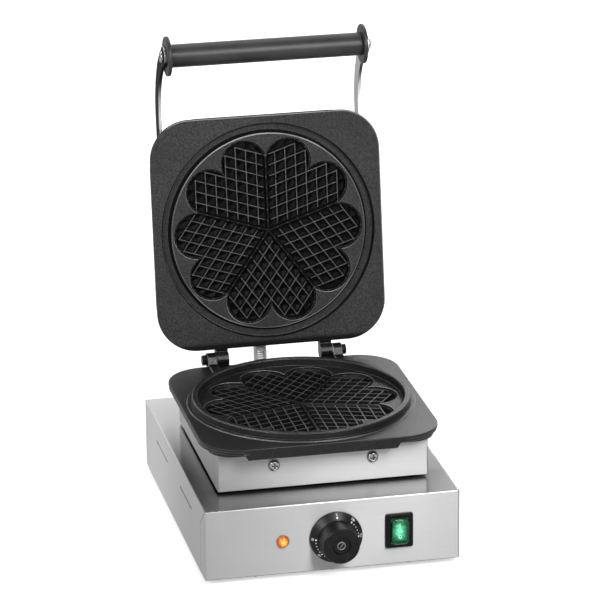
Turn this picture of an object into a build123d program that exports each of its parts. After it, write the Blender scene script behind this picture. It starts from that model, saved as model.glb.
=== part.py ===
from build123d import *
import math
import os

# Countertop heart waffle maker, lid open. Millimetres, +X to the right, front towards -Y, +Z up.
# The lid's pieces are modelled closed over the lower plate and then swung open about the hinge.

# Base box of folded stainless sheet
SHEET = 1.2
SEAM = 0.6
BEND_R = 1.6
TOP_EDGE_R = 0.9
BOTTOM_EDGE_R = 0.9
BASE_W = 260.0
BASE_D = 325.0
BASE_H = 73.0
FRONT_FLANGE = 21.0
REAR_FLANGE = 10.0
RELIEF_FRONT = 20.0
RELIEF_REAR = 10.0
JOGGLE = 8.0
JOGGLE_MARGIN = 9.0
JOGGLE_CLEAR = 3.0
LIP = 13.0
GROOVE_L = 62.0
GROOVE_H = 3.0
GROOVE_DEPTH = 0.7
GROOVE_DROP = 22.0
GROOVE_PITCH = 130.0

# Feet
FOOT_H = 6.0
FOOT_R = 12.0
FOOT_TAPER = 1.5
FOOT_INSET = 25.0
FOOT_SCREW_R = 2.0
FOOT_SCREW_L = 12.0
FOOT_RECESS = 3.4

# Controls on the front panel
CONTROL_Z = 35.0
KNOB_X = 3.0
LAMP_X = -51.0
SWITCH_X = 67.5
SHAFT_R = 3.0
SHAFT_PLAY = 0.05
SHAFT_OUT = 21.0
SHAFT_IN = 20.0
PANEL_HOLE_PLAY = 2.0
KNOB_GAP = 0.6
SKIRT_R = 26.6
SKIRT_EDGE = 2.2
SKIRT_CONE = 4.6
GRIP_R = 20.0
GRIP_FRONT_R = 18.6
KNOB_L = 27.0
KNOB_DISH_R = 9.4
KNOB_DISH = 3.2
KNOB_BUTTON_R = 4.6
KNOB_BUTTON_H = 1.0
KNOB_WALL = 3.0
KNOB_HUB_R = 8.0
KNOB_HOLLOW = 3.2
THERMOSTAT_W = 44.0
THERMOSTAT_H = 34.0
THERMOSTAT_L = 26.0
THERMOSTAT_SCREW_PITCH = 28.0
SMALL_SCREW_R = 2.0
SMALL_SCREW_L = 8.0
SMALL_HEAD_R = 3.6
SMALL_HEAD_H = 1.9
LAMP_R = 6.5
LAMP_DOME = 4.2
LAMP_BODY_R = 4.9
LAMP_BODY_L = 24.0
LAMP_NUT_R = 7.5
LAMP_NUT_H = 3.0
SWITCH_W = 28.0
SWITCH_H = 36.0
SWITCH_RISE = 1.1
SWITCH_RIM_H = 3.0
WINDOW_W = 16.6
WINDOW_H = 26.2
SWITCH_BODY_W = 22.0
SWITCH_BODY_H = 30.0
SWITCH_BODY_L = 26.0
SWITCH_WELL = 16.0
ROCKER_PLAY = 0.8
ROCKER_TILT = 6.0
ROCKER_PIVOT = 2.5
ROCKER_PROUD = 0.3
ROCKER_BACK = 5.0
ROCKER_DISH_R = 34.0
ROCKER_DISH = 0.9
ROCKER_CORNER = 4.0
ROCKER_PIN_R = 1.2
ROCKER_PIN_L = 1.6
ROCKER_PIN_PLAY = 0.05
CAP_WALL = 0.9
CAP_H = 4.6
CAP_R = 4.5
CAP_EDGE = 2.2

# Pedestal under the lower plate
PED_W = 215.0
PED_FRONT = 121.0
PED_REAR = 86.0
PED_LIFT = 3.3
PED_H = 40.6
PED_FLANGE = 19.0
SPACER_INSET = 12.0
PED_SCREW_X = 50.4
PED_SCREW_DROP = 16.6
PED_SCREW_R = 2.5
PED_SCREW_L = 9.0
PED_HEAD_R = 5.5
PED_HEAD_H = 3.4
LUG_BLOCK_W = 18.0
LUG_BLOCK_T = 10.0
LUG_BLOCK_BELOW = 7.0

# Cast plates
PLATE_Y = -18.0
PLATE_HALF = 122.0
PLATE_R = 42.0
PLATE_T = 6.0
TIER_T = 3.0
TIER_R = 52.0
LOWER_TIER_R = 45.0
SEAT_T = 3.3
SEAT_HALF = 115.0
SEAT_R = 24.0
PLATE_EDGE = 0.9
BOSS_T = 7.0
BOSS_CLEAR = 1.0
BOSS_R = 20.0
TAB_X = -4.2
TAB_HALF = 80.0
TAB_SLOPE = 4.0
TAB_H = 5.5
TAB_T = 3.0
RIM_H = 8.0
RIM_TOP_OUT = 111.4
RIM_TOP_IN = 105.5
RIM_DRAFT = 0.8
RIM_FOOT = 4.6
RIM_FOOT_H = 0.9
RIM_EDGE = 0.8
CLOSED_GAP = 2.1
GROOVE_OUT = 113.0
GROOVE_IN = 103.8
GROOVE_EDGE = 1.4
GROOVE_DRAFT = 0.5
RIM_CLEAR = 0.6
UPPER_BACK_T = 3.0
UPPER_BACK_INSET = 4.0
UPPER_BOSS_T = 3.0

# Heart relief in both plates: a shallow step, deep pits and a grid of ridges in each pit
HEARTS = 5
LOBE_OUT = 76.0
LOBE_R = 24.75
STEP_DEPTH = 1.8
PIT_DEPTH = 6.5
PIT_DRAFT = 1.1
DIVIDER_T = 1.2
RIDGE_T = 1.3
RIDGE_DROP = 1.8
RIDGE_END = 3.3
GRID_FIRST = 10.0
GRID_PITCH = 10.9
GRID_MARGIN = 3.6

# Hinge
HINGE_REACH = 10.6
HINGE_RISE = 3.1
LID_OPEN = 99.0
LUG_X = 67.25
LUG_T = 9.5
LUG_R = 7.5
LUG_PAD_L = 26.0
LUG_PAD_T = 1.5
KNUCKLE_X = 55.65
KNUCKLE_T = 12.7
KNUCKLE_R = 8.0
STOP_GAP = 0.3
STOP_H = 5.0
HINGE_BOLT_R = 3.0
HINGE_PLAY = 0.05
BOLT_HEAD_AF = 10.0
BOLT_HEAD_H = 4.2
WASHER_R = 6.0
WASHER_T = 1.0
PIN_WALL = 2.5
PIN_CLEAR = 0.5

# Upper cover
COVER_HALF = 104.8
COVER_H = 37.7
COVER_R = 5.0
COVER_SCREW_RISE = 12.0
COVER_SCREW_X = 60.0
COVER_LUG_W = 16.0
COVER_LUG_T = 9.0
COVER_LUG_H = 19.0

# Handle
HANDLE_OUT = 192.3
HANDLE_DROP = 21.8
HANDLE_R = 12.0
HANDLE_BORE_R = 4.1
HANDLE_ROD_R = 4.0
DISC_R = 20.6
DISC_T = 4.0
DISC_EDGE = 1.2
ARM_T = 3.0
ARM_W = 18.0
ARM_END_R = 10.5
ARM_BACK = 27.5
ARM_TANGENT_OUT = 123.0
ARM_ROOT_OUT = 38.0
ARM_SCREW_1 = 48.0
ARM_SCREW_2 = 88.0
ARM_SCREW_R = 2.5
ARM_SCREW_L = 9.0
ARM_HEAD_R = 4.8
ARM_HEAD_H = 2.8
HANDLE_SCREW_R = 2.5
HANDLE_SCREW_L = 16.0
HANDLE_HEAD_R = 6.0
HANDLE_HEAD_H = 3.2
NUT_AF = 8.0
SMALL_NUT_H = 4.0

# Heaters, clamps and insulation
HEATER_R = 3.25
HEATER_LEG_X = 14.0
HEATER_LEG_Y = 86.0
HEATER_SIDE = 66.0
HEATER_NEAR = 44.0
HEATER_FAR = 66.0
HEATER_BEND = 16.0
CLAMP_HALF = 76.0
CLAMP_T = 2.0
CLAMP_SCREW_R = 3.0
CLAMP_NUT_H = 5.0
STUD_DEPTH = 4.0
STUD_END = 2.0
BLANKET_INSET = 8.0
NUT_POCKET_R = 7.0

# Thermostat bulb and its capillary
BULB_X = 10.0
BULB_R = 3.0
BULB_L = 60.0
BULB_FRONT = 50.0
CAPILLARY_R = 1.0
WIRE_HOLE_R = 14.0
WIRE_Y = -68.0

# Flexible conduit between base and lid
CONDUIT_X = -10.0
HOSE_R = 7.0
HOSE_VALLEY = 0.7
HOSE_BORE_R = 5.0
RIB_PITCH = 2.4
HOSE_END = 17.0
HOSE_GAP = 62.0
GLAND_AF = 20.0
GLAND_H = 9.0
GLAND_TIP_R = 8.6
GLAND_THREAD_R = 7.5
GLAND_NUT_H = 4.0
LID_GLAND_BACK = 25.0

# Mains inlet gland and terminal block
CABLE_INSET = 52.0
CABLE_Z = 26.0
CABLE_GLAND_AF = 24.0
CABLE_GLAND_H = 12.0
CABLE_THREAD_R = 8.0
CABLE_BORE_R = 4.5
CABLE_CAP_L = 8.0
BLOCK_W = 44.0
BLOCK_D = 20.0
BLOCK_H = 18.0
BLOCK_FROM_REAR = 55.0
BLOCK_PITCH = 13.0
BLOCK_HOLE_R = 2.2

# Derived levels and planes
base_bottom = FOOT_H
base_top = FOOT_H + BASE_H
front = -BASE_D / 2
rear = BASE_D / 2
side = BASE_W / 2
cable_x = side - CABLE_INSET
control_z = base_bottom + CONTROL_Z
switch_z = control_z + SWITCH_RISE
ped_bottom = base_top + PED_LIFT
ped_top = ped_bottom + PED_H
ped_side = PED_W / 2
plate_bottom = ped_top + SEAT_T
plate_top = plate_bottom + PLATE_T
hinge_z = plate_top + HINGE_RISE
pin_end = KNUCKLE_X - KNUCKLE_T / 2 + PIN_WALL
face_z = plate_top + CLOSED_GAP
upper_back = face_z + PLATE_T
cover_bottom = upper_back + UPPER_BACK_T
cover_top = cover_bottom + COVER_H
arm_z = face_z + ARM_BACK
boss_bottom = plate_bottom - BOSS_T
plate_front = PLATE_Y - PLATE_HALF
plate_rear = PLATE_Y + PLATE_HALF
hinge_y = plate_rear + HINGE_REACH
floor_top = ped_bottom + SHEET


def block(x, y, z):
    size = [high - low for low, high in (x, y, z)]
    middle = [(low + high) / 2 for low, high in (x, y, z)]
    return Pos(*middle) * Box(*size)


def rod(start, direction, radius, length):
    base = (Align.CENTER, Align.CENTER, Align.MIN)
    return Plane(origin=start, z_dir=direction) * Cylinder(radius, length, align=base)


def hexagon(start, direction, across_flats, length):
    outline = RegularPolygon(across_flats / 2, 6, major_radius=False)
    return Plane(origin=start, z_dir=direction) * extrude(outline, amount=length)


def side_profile(points, x_low, x_high):
    face = make_face(Plane.YZ * Polyline(*points, close=True))
    return Pos(x_low, 0, 0) * extrude(face, amount=x_high - x_low, dir=(1, 0, 0))


def slab(half_x, half_y, radius, z_low, z_high, y_middle=PLATE_Y):
    outline = RectangleRounded(2 * half_x, 2 * half_y, radius)
    return Pos(0, y_middle, z_low) * extrude(outline, amount=z_high - z_low)


def group(*pieces):
    return Compound([solid for piece in pieces for solid in piece.solids()])


def both_sides(piece):
    return [piece, mirror(piece, about=Plane.YZ)]


def opened(piece):
    return piece.rotate(Axis((0, hinge_y, hinge_z), (1, 0, 0)), -LID_OPEN)


def ring(profile, z):
    face = make_face(Plane.XZ * Polyline(*profile, close=True))
    return Pos(0, PLATE_Y, z) * revolve(face, Axis.Z)


def pan_screw(seat, outward, head_r, head_h, shank_r, length):
    head = Cylinder(head_r, head_h, align=(Align.CENTER, Align.CENTER, Align.MIN))
    head = fillet(head.edges().sort_by(Axis.Z)[-1], head_h * 0.6)
    blade = Pos(0, 0, head_h) * Box(head_r * 1.1, head_r * 0.24, head_h)
    head = head - blade - Rot(0, 0, 90) * blade
    shank = Pos(0, 0, -length) * Cylinder(shank_r, length, align=(Align.CENTER, Align.CENTER, Align.MIN))
    return Plane(origin=seat, z_dir=outward) * (head + shank)


# Heart relief
def lobe_angle():
    return math.pi / (2 * HEARTS)


def heart_outline(side_gap):
    # tip, straight side, lobe and the blunt inner end of the cleft, mirrored about the heart's axis
    half = 2 * lobe_angle()
    radius = LOBE_OUT * math.sin(lobe_angle()) - side_gap
    centre = (LOBE_OUT * math.cos(lobe_angle()), -LOBE_OUT * math.sin(lobe_angle()))
    tip = (side_gap / math.sin(half), 0)
    touch = (centre[0] - radius * math.sin(half), centre[1] - radius * math.cos(half))
    far = (centre[0] + radius * math.cos(lobe_angle()), centre[1] - radius * math.sin(lobe_angle()))
    inner = (centre[0], -side_gap)
    lower = Line(tip, touch) + ThreePointArc(touch, far, inner)
    return make_face(lower + Line(inner, (centre[0], side_gap)) + mirror(lower, about=Plane.XZ))


def inside_lobes(x, y):
    # whether a crossing of two ridges lies inside the rosette of lobes by the margin
    turn = abs(abs(math.atan2(y, x)) - lobe_angle())
    across = LOBE_OUT * math.sin(turn)
    edge = LOBE_OUT * math.cos(turn) + math.sqrt(LOBE_R ** 2 - across ** 2)
    return math.hypot(x, y) < edge - GRID_MARGIN


def ridge_reach(offset):
    # distance from the far side, of the last crossing on the ridge at this offset from its own side
    half = 2 * lobe_angle()
    last = None
    for row in range(int(2 * LOBE_OUT / GRID_PITCH)):
        other = GRID_FIRST + row * GRID_PITCH
        x = (offset + other) / (2 * math.sin(half))
        y = (offset - other) / (2 * math.cos(half))
        if not inside_lobes(x, y):
            break
        last = other
    return last


def ridge_bars():
    # bars parallel to one side of the heart, from near its other side to their last crossing
    half = 2 * lobe_angle()
    bars = []
    offset = GRID_FIRST
    while ridge_reach(offset) is not None:
        start = (RIDGE_END + offset * math.cos(2 * half)) / math.sin(2 * half)
        end = (ridge_reach(offset) + offset * math.cos(2 * half)) / math.sin(2 * half) + RIDGE_T / 2
        bar = Pos((start + end) / 2, offset) * Rectangle(end - start, RIDGE_T)
        bars.append(Rot(0, 0, -math.degrees(half)) * bar)
        offset += GRID_PITCH
    return bars


def relief_cutters():
    # the material taken out of a face at +Z = 0 upwards, one rosette step and five pits
    rosette = Sketch() + RegularPolygon(LOBE_OUT, 2 * HEARTS, rotation=math.degrees(lobe_angle()))
    for lobe in range(2 * HEARTS):
        turn = (2 * lobe + 1) * lobe_angle()
        rosette += Pos(LOBE_OUT * math.cos(turn), LOBE_OUT * math.sin(turn)) * Circle(LOBE_R)
    step = extrude(rosette, amount=STEP_DEPTH, dir=(0, 0, 1))
    top = Pos(0, 0, STEP_DEPTH) * heart_outline(DIVIDER_T / 2)
    bottom = Pos(0, 0, PIT_DEPTH) * heart_outline(DIVIDER_T / 2 + PIT_DRAFT)
    pit = loft([top, bottom], ruled=True)
    network = Sketch()
    for bar in ridge_bars():
        network = network + bar + mirror(bar, about=Plane.XZ)
    ridges = Pos(0, 0, RIDGE_DROP) * extrude(network, amount=PIT_DEPTH, dir=(0, 0, 1))
    pit -= ridges
    turns = [Rot(0, 0, 90 + heart * 360 / HEARTS) for heart in range(HEARTS)]
    return [Rot(0, 0, 90) * step] + [turn * pit for turn in turns]


def carve(plate, cutters, z, upwards):
    flip = Rot(0, 0, 0) if upwards else Rot(0, 180, 0)
    return plate - [Pos(0, PLATE_Y, z) * flip * cutter for cutter in cutters]


# Base box
def flange_side(y_edge, depth, relief, direction, margin=0.0):
    # outline of a side flange in the side wall's plane, widened by an even margin
    inner = y_edge + direction * (depth + margin)
    raised = margin * math.hypot(depth, relief) / depth
    return [
        (y_edge, base_bottom),
        (inner, base_bottom),
        (inner, base_top - relief * (depth + margin) / depth + raised),
        (y_edge, base_top + raised),
    ]


def make_base_housing():
    shell = block((-side, side), (front + SHEET, rear - SHEET), (base_bottom, base_top))
    long_edges = shell.edges().filter_by(Axis.Y).sort_by(Axis.Z)[-2:]
    shell = fillet(long_edges, BEND_R)
    shell -= block((-side + SHEET, side - SHEET), (front, rear), (0, base_top - SHEET))
    for y_edge, depth, relief, direction in (
        (front, FRONT_FLANGE, RELIEF_FRONT, 1),
        (rear, REAR_FLANGE, RELIEF_REAR, -1),
    ):
        outline = flange_side(y_edge, depth, relief, direction, SEAM)
        wedge = side_profile(outline, -side - 1, side + 1)
        shell -= wedge - block((-side + SHEET, side - SHEET), (front, rear), (base_bottom - 1, base_top + 1))
    shell -= groove_cutters()
    shell -= rod((0, WIRE_Y, base_top - 2 * SHEET), (0, 0, 1), WIRE_HOLE_R, 3 * SHEET)
    shell -= rod((CONDUIT_X, conduit_y, base_top - 2 * SHEET), (0, 0, 1), GLAND_THREAD_R, 3 * SHEET)
    return shell


def groove_cutters():
    outline = SlotOverall(GROOVE_L, GROOVE_H)
    cutters = []
    for y in (-GROOVE_PITCH / 2, GROOVE_PITCH / 2):
        place = Plane(origin=(-side, y, base_top - GROOVE_DROP), x_dir=(0, 1, 0), z_dir=(1, 0, 0))
        groove = place * extrude(outline, amount=GROOVE_DEPTH)
        cutters += both_sides(groove)
    return cutters


def end_panel(y_edge, depth, relief, direction):
    inner_y = y_edge + direction * SHEET
    wall_y = sorted((y_edge, inner_y))
    panel = block((-side, side), wall_y, (base_bottom, base_top))
    ear = side_profile(flange_side(y_edge, depth, relief, direction), -side, -side + SHEET)
    strip_y = sorted((y_edge + direction * (depth - 4), y_edge + direction * (depth + JOGGLE)))
    strip_z = (base_bottom + JOGGLE_MARGIN, base_top - relief - JOGGLE_MARGIN)
    strip = block((-side + SHEET, -side + 2 * SHEET), strip_y, strip_z)
    lip_y = sorted((inner_y, y_edge + direction * LIP))
    lip_z = (base_bottom + SHEET, base_bottom + 2 * SHEET)
    lip = block((-side + 2 * SHEET, side - 2 * SHEET), lip_y, lip_z)
    for piece in both_sides(ear) + both_sides(strip) + [lip]:
        panel += piece
    outer = 0 if direction > 0 else -1
    panel = fillet(panel.edges().filter_by(Axis.Z).group_by(Axis.Y)[outer], BEND_R)
    panel = fillet(panel.edges().filter_by(Axis.X).group_by(Axis.Z)[-1].sort_by(Axis.Y)[outer], TOP_EDGE_R)
    return fillet(bottom_outline(panel, y_edge), BOTTOM_EDGE_R)


def bottom_outline(panel, y_edge):
    # the outer edges at the foot of an end panel
    near = SHEET * 0.45
    chosen = []
    for edge in panel.edges().group_by(Axis.Z)[0]:
        middle = edge.center()
        if abs(middle.Y - y_edge) < near or side - abs(middle.X) < near:
            chosen.append(edge)
    return chosen


def make_front_panel():
    panel = end_panel(front, FRONT_FLANGE, RELIEF_FRONT, 1)
    through = (front - 1, front + SHEET + 1)
    panel -= rod((KNOB_X, front - 1, control_z), (0, 1, 0), SHAFT_R + PANEL_HOLE_PLAY, SHEET + 2)
    panel -= rod((LAMP_X, front - 1, control_z), (0, 1, 0), LAMP_BODY_R, SHEET + 2)
    panel -= block(
        (SWITCH_X - SWITCH_BODY_W / 2, SWITCH_X + SWITCH_BODY_W / 2),
        through,
        (switch_z - SWITCH_BODY_H / 2, switch_z + SWITCH_BODY_H / 2),
    )
    for seat in thermostat_screw_seats():
        panel -= rod((seat[0], front - 1, seat[2]), (0, 1, 0), SMALL_SCREW_R, SHEET + 2)
    return panel - [rod(*hole) for hole in bottom_screw_holes(front, 1)]


def make_rear_panel():
    panel = end_panel(rear, REAR_FLANGE, RELIEF_REAR, -1)
    panel -= rod((cable_x, rear - SHEET - 1, cable_z), (0, 1, 0), CABLE_THREAD_R, SHEET + 2)
    return panel - [rod(*hole) for hole in bottom_screw_holes(rear, -1)]


def bottom_screw_seats(y_edge, direction):
    y = y_edge + direction * LIP / 2
    return [(x, y, base_bottom) for x in (-side * 0.6, 0, side * 0.6)]


def bottom_screw_holes(y_edge, direction):
    return [(seat, (0, 0, 1), SMALL_SCREW_R, 4 * SHEET) for seat in bottom_screw_seats(y_edge, direction)]


def foot_centres():
    x = side - FOOT_INSET
    y = rear - FOOT_INSET
    return [(-x, -y), (x, -y), (-x, y), (x, y)]


def make_bottom_plate():
    plate = block(
        (-side + SHEET, side - SHEET),
        (front + SHEET, rear - SHEET),
        (base_bottom, base_bottom + SHEET),
    )
    for x, y in foot_centres():
        plate -= rod((x, y, base_bottom - 1), (0, 0, 1), FOOT_SCREW_R, SHEET + 2)
    for y_edge, direction in ((front, 1), (rear, -1)):
        plate -= [rod(*hole) for hole in bottom_screw_holes(y_edge, direction)]
    return plate


def make_bottom_screws():
    seats = bottom_screw_seats(front, 1) + bottom_screw_seats(rear, -1)
    screws = [
        pan_screw(seat, (0, 0, -1), SMALL_HEAD_R, SMALL_HEAD_H, SMALL_SCREW_R, SMALL_SCREW_L)
        for seat in seats
    ]
    return group(*screws)


def make_feet():
    feet = []
    for x, y in foot_centres():
        base = (Align.CENTER, Align.CENTER, Align.MIN)
        foot = Pos(x, y, 0) * Cone(FOOT_R - FOOT_TAPER, FOOT_R, FOOT_H, align=base)
        foot -= rod((x, y, 0), (0, 0, 1), FOOT_SCREW_R * 2.4, FOOT_RECESS)
        foot -= rod((x, y, 0), (0, 0, 1), FOOT_SCREW_R, FOOT_H)
        feet.append(foot)
    return group(*feet)


def make_foot_screws():
    screws = []
    for x, y in foot_centres():
        seat = (x, y, FOOT_RECESS)
        screws.append(pan_screw(seat, (0, 0, -1), FOOT_SCREW_R * 1.9, 2.2, FOOT_SCREW_R, FOOT_SCREW_L))
    return group(*screws)


def make_foot_nuts():
    nuts = []
    for x, y in foot_centres():
        low = (x, y, base_bottom + SHEET)
        nut = hexagon(low, (0, 0, 1), FOOT_SCREW_R * 3.5, 3.2)
        nuts.append(nut - rod(low, (0, 0, 1), FOOT_SCREW_R, 3.2))
    return group(*nuts)


# Controls
def thermostat_screw_seats():
    half = THERMOSTAT_SCREW_PITCH / 2
    return [(KNOB_X - half, front, control_z), (KNOB_X + half, front, control_z)]


def make_thermostat_body():
    x = (KNOB_X - THERMOSTAT_W / 2, KNOB_X + THERMOSTAT_W / 2)
    z = (control_z - THERMOSTAT_H / 2, control_z + THERMOSTAT_H / 2)
    inner = front + SHEET
    body = block(x, (inner, inner + THERMOSTAT_L), z)
    body = fillet(body.edges().filter_by(Axis.Y), 3.0)
    body -= rod((KNOB_X, inner, control_z), (0, 1, 0), SHAFT_R + SHAFT_PLAY, SHAFT_IN - SHEET + 0.3)
    for seat in thermostat_screw_seats():
        body -= rod((seat[0], inner, seat[2]), (0, 1, 0), SMALL_SCREW_R, SMALL_SCREW_L - SHEET)
    return body


def make_thermostat_screws():
    screws = [
        pan_screw(seat, (0, -1, 0), SMALL_HEAD_R, SMALL_HEAD_H, SMALL_SCREW_R, SMALL_SCREW_L)
        for seat in thermostat_screw_seats()
    ]
    return group(*screws)


def make_thermostat_shaft():
    return rod((KNOB_X, front - SHAFT_OUT, control_z), (0, 1, 0), SHAFT_R, SHAFT_OUT + SHAFT_IN)


def make_knob():
    start = KNOB_GAP
    profile = [
        (0, start),
        (KNOB_HUB_R, start),
        (KNOB_HUB_R, start + KNOB_HOLLOW),
        (GRIP_R, start + KNOB_HOLLOW),
        (SKIRT_R - KNOB_WALL, start),
        (SKIRT_R, start),
        (SKIRT_R, start + SKIRT_EDGE),
        (GRIP_R, start + SKIRT_EDGE + SKIRT_CONE),
        (GRIP_FRONT_R, KNOB_L - 1.0),
        (GRIP_FRONT_R - 1.0, KNOB_L),
        (KNOB_DISH_R, KNOB_L - 0.6),
        (KNOB_DISH_R - 1.2, KNOB_L - KNOB_DISH),
        (0, KNOB_L - KNOB_DISH),
    ]
    face = make_face(Plane.XZ * Polyline(*profile, close=True))
    solid = revolve(face, Axis.Z)
    knob = Plane(origin=(KNOB_X, front, control_z), z_dir=(0, -1, 0)) * solid
    bore = rod((KNOB_X, front, control_z), (0, -1, 0), SHAFT_R, SHAFT_OUT)
    return knob - bore


def make_knob_button():
    seat = (KNOB_X, front - KNOB_L + KNOB_DISH, control_z)
    return rod(seat, (0, -1, 0), KNOB_BUTTON_R, KNOB_BUTTON_H)


def make_lamp_lens():
    high = LAMP_DOME
    ball = (LAMP_R ** 2 + high ** 2) / (2 * high)
    rim = 0.8
    dome = Sphere(ball) - Pos(0, 0, -ball + (ball - high)) * Box(3 * ball, 3 * ball, 2 * ball)
    dome = Pos(0, 0, rim - (ball - high)) * dome
    lens = dome + Cylinder(LAMP_R, rim, align=(Align.CENTER, Align.CENTER, Align.MIN))
    return Plane(origin=(LAMP_X, front, control_z), z_dir=(0, -1, 0)) * lens


def make_lamp_body():
    return rod((LAMP_X, front, control_z), (0, 1, 0), LAMP_BODY_R, LAMP_BODY_L)


def make_lamp_nut():
    start = (LAMP_X, front + SHEET, control_z)
    nut = hexagon(start, (0, 1, 0), 2 * LAMP_NUT_R, LAMP_NUT_H)
    return nut - rod(start, (0, 1, 0), LAMP_BODY_R, LAMP_NUT_H)


def make_switch_frame():
    outer = block(
        (SWITCH_X - SWITCH_W / 2, SWITCH_X + SWITCH_W / 2),
        (front - SWITCH_RIM_H, front),
        (switch_z - SWITCH_H / 2, switch_z + SWITCH_H / 2),
    )
    outer = fillet(outer.edges().filter_by(Axis.Y), 2.0)
    outer = chamfer(outer.faces().sort_by(Axis.Y)[0].edges(), 0.8)
    return outer - switch_window(front - SWITCH_RIM_H - 1, front + 1)


def switch_window(y_low, y_high):
    x = (SWITCH_X - WINDOW_W / 2, SWITCH_X + WINDOW_W / 2)
    return block(x, (y_low, y_high), (switch_z - WINDOW_H / 2, switch_z + WINDOW_H / 2))


def switch_plane(y):
    return Plane(origin=(SWITCH_X, y, switch_z), x_dir=(1, 0, 0), z_dir=(0, -1, 0))


def cap_block(wall, height, edge):
    outline = RectangleRounded(WINDOW_W + 2 * wall, WINDOW_H + 2 * wall, CAP_R + wall)
    solid = extrude(outline, amount=height)
    return fillet(solid.faces().sort_by(Axis.Z)[-1].edges(), edge)


def make_switch_cap():
    # clear soft cover that stands on the frame's front, over the rocker
    shell = cap_block(CAP_WALL, CAP_H, CAP_EDGE) - cap_block(0, CAP_H - CAP_WALL, CAP_EDGE - CAP_WALL)
    return switch_plane(front - SWITCH_RIM_H) * shell


def rocker_rod(y, radius, half_length):
    start = (SWITCH_X - half_length, y, switch_z)
    return rod(start, (1, 0, 0), radius, 2 * half_length)


def make_switch_body():
    body = block(
        (SWITCH_X - SWITCH_BODY_W / 2, SWITCH_X + SWITCH_BODY_W / 2),
        (front, front + SWITCH_BODY_L),
        (switch_z - SWITCH_BODY_H / 2, switch_z + SWITCH_BODY_H / 2),
    )
    body -= switch_window(front - 1, front + SWITCH_WELL)
    pin_reach = WINDOW_W / 2 + ROCKER_PIN_L
    return body - rocker_rod(front + ROCKER_PIVOT, ROCKER_PIN_R + ROCKER_PIN_PLAY, pin_reach)


def make_rocker():
    # a hollowed face, round ends and two pivot pins, tipped so that its top is pressed in
    pivot_y = front + ROCKER_PIVOT
    face_y = front - SWITCH_RIM_H - ROCKER_PROUD
    half_w = WINDOW_W / 2 - ROCKER_PLAY
    reach = WINDOW_H / 2 - ROCKER_PLAY
    body = rocker_rod(pivot_y, reach, half_w)
    outline = RectangleRounded(2 * half_w, 2 * reach, ROCKER_CORNER)
    depth = pivot_y + ROCKER_BACK - face_y
    body &= switch_plane(pivot_y + ROCKER_BACK) * extrude(outline, amount=depth)
    body -= rocker_rod(face_y + ROCKER_DISH - ROCKER_DISH_R, ROCKER_DISH_R, half_w + 1)
    body += rocker_rod(pivot_y, ROCKER_PIN_R, half_w + ROCKER_PIN_L)
    return body.rotate(Axis((SWITCH_X, pivot_y, switch_z), (1, 0, 0)), -ROCKER_TILT)


# Pedestal
def pedestal_sheet(y_low, y_high, z_low, z_high):
    return block((-ped_side, ped_side), (y_low, y_high), (z_low, z_high))


def make_pedestal_housing():
    shell = pedestal_sheet(-PED_FRONT + SHEET, PED_REAR, ped_bottom, ped_top)
    shell = fillet(shell.edges().filter_by(Axis.Z).sort_by(Axis.Y)[-2:], BEND_R)
    shell -= block(
        (-ped_side + SHEET, ped_side - SHEET),
        (-PED_FRONT, PED_REAR - SHEET),
        (floor_top, ped_top + 1),
    )
    flange_y = (-PED_FRONT, -PED_FRONT + PED_FLANGE + SEAM)
    shell -= both_sides(block((-ped_side - 1, -ped_side + SHEET), flange_y, (0, ped_top + 1)))
    shell -= rod((0, WIRE_Y, ped_bottom - 1), (0, 0, 1), WIRE_HOLE_R, 3 * SHEET)
    for x in (-PED_SCREW_X, PED_SCREW_X):
        shell -= rod((x, PED_REAR - SHEET - 1, ped_screw_z), (0, 1, 0), PED_SCREW_R, 3 * SHEET)
    return shell


def make_pedestal_front():
    panel = pedestal_sheet(-PED_FRONT, -PED_FRONT + SHEET, ped_bottom, ped_top)
    flange_y = (-PED_FRONT, -PED_FRONT + PED_FLANGE)
    flange = block((-ped_side, -ped_side + SHEET), flange_y, (ped_bottom, ped_top))
    strip = block(
        (-ped_side + SHEET, -ped_side + 2 * SHEET),
        (-PED_FRONT + PED_FLANGE - 4, -PED_FRONT + PED_FLANGE + JOGGLE),
        (floor_top + JOGGLE_CLEAR, boss_bottom - JOGGLE_CLEAR),
    )
    for piece in both_sides(flange) + both_sides(strip):
        panel += piece
    outer_edges = panel.edges().filter_by(Axis.Z).group_by(Axis.Y)[0]
    panel = fillet(outer_edges, SHEET * 0.8)
    for x in (-PED_SCREW_X, PED_SCREW_X):
        panel -= rod((x, -PED_FRONT - 1, ped_screw_z), (0, 1, 0), PED_SCREW_R, 3 * SHEET)
    return panel


def make_spacer():
    plate = block(
        (-ped_side + SPACER_INSET, ped_side - SPACER_INSET),
        (-PED_FRONT + SPACER_INSET, PED_REAR - SPACER_INSET),
        (base_top, ped_bottom),
    )
    return plate - rod((0, WIRE_Y, base_top - 1), (0, 0, 1), WIRE_HOLE_R, PED_LIFT + 2)


def make_pedestal_screws():
    screws = []
    for x in (-PED_SCREW_X, PED_SCREW_X):
        for y, outward in ((-PED_FRONT, (0, -1, 0)), (PED_REAR, (0, 1, 0))):
            seat = (x, y, ped_screw_z)
            screws.append(pan_screw(seat, outward, PED_HEAD_R, PED_HEAD_H, PED_SCREW_R, PED_SCREW_L))
    return group(*screws)


# Cast plates
def cast_slab(z_face, tier_r, upwards):
    sign = 1 if upwards else -1
    levels = sorted((z_face, z_face - sign * TIER_T))
    lower = sorted((z_face - sign * TIER_T, z_face - sign * PLATE_T))
    top = slab(PLATE_HALF, PLATE_HALF, PLATE_R, *levels)
    rim_edges = top.faces().sort_by(Axis.Z)[-1 if upwards else 0].edges()
    top = fillet(rim_edges, PLATE_EDGE)
    return top + slab(PLATE_HALF, PLATE_HALF, tier_r, *lower)


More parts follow.
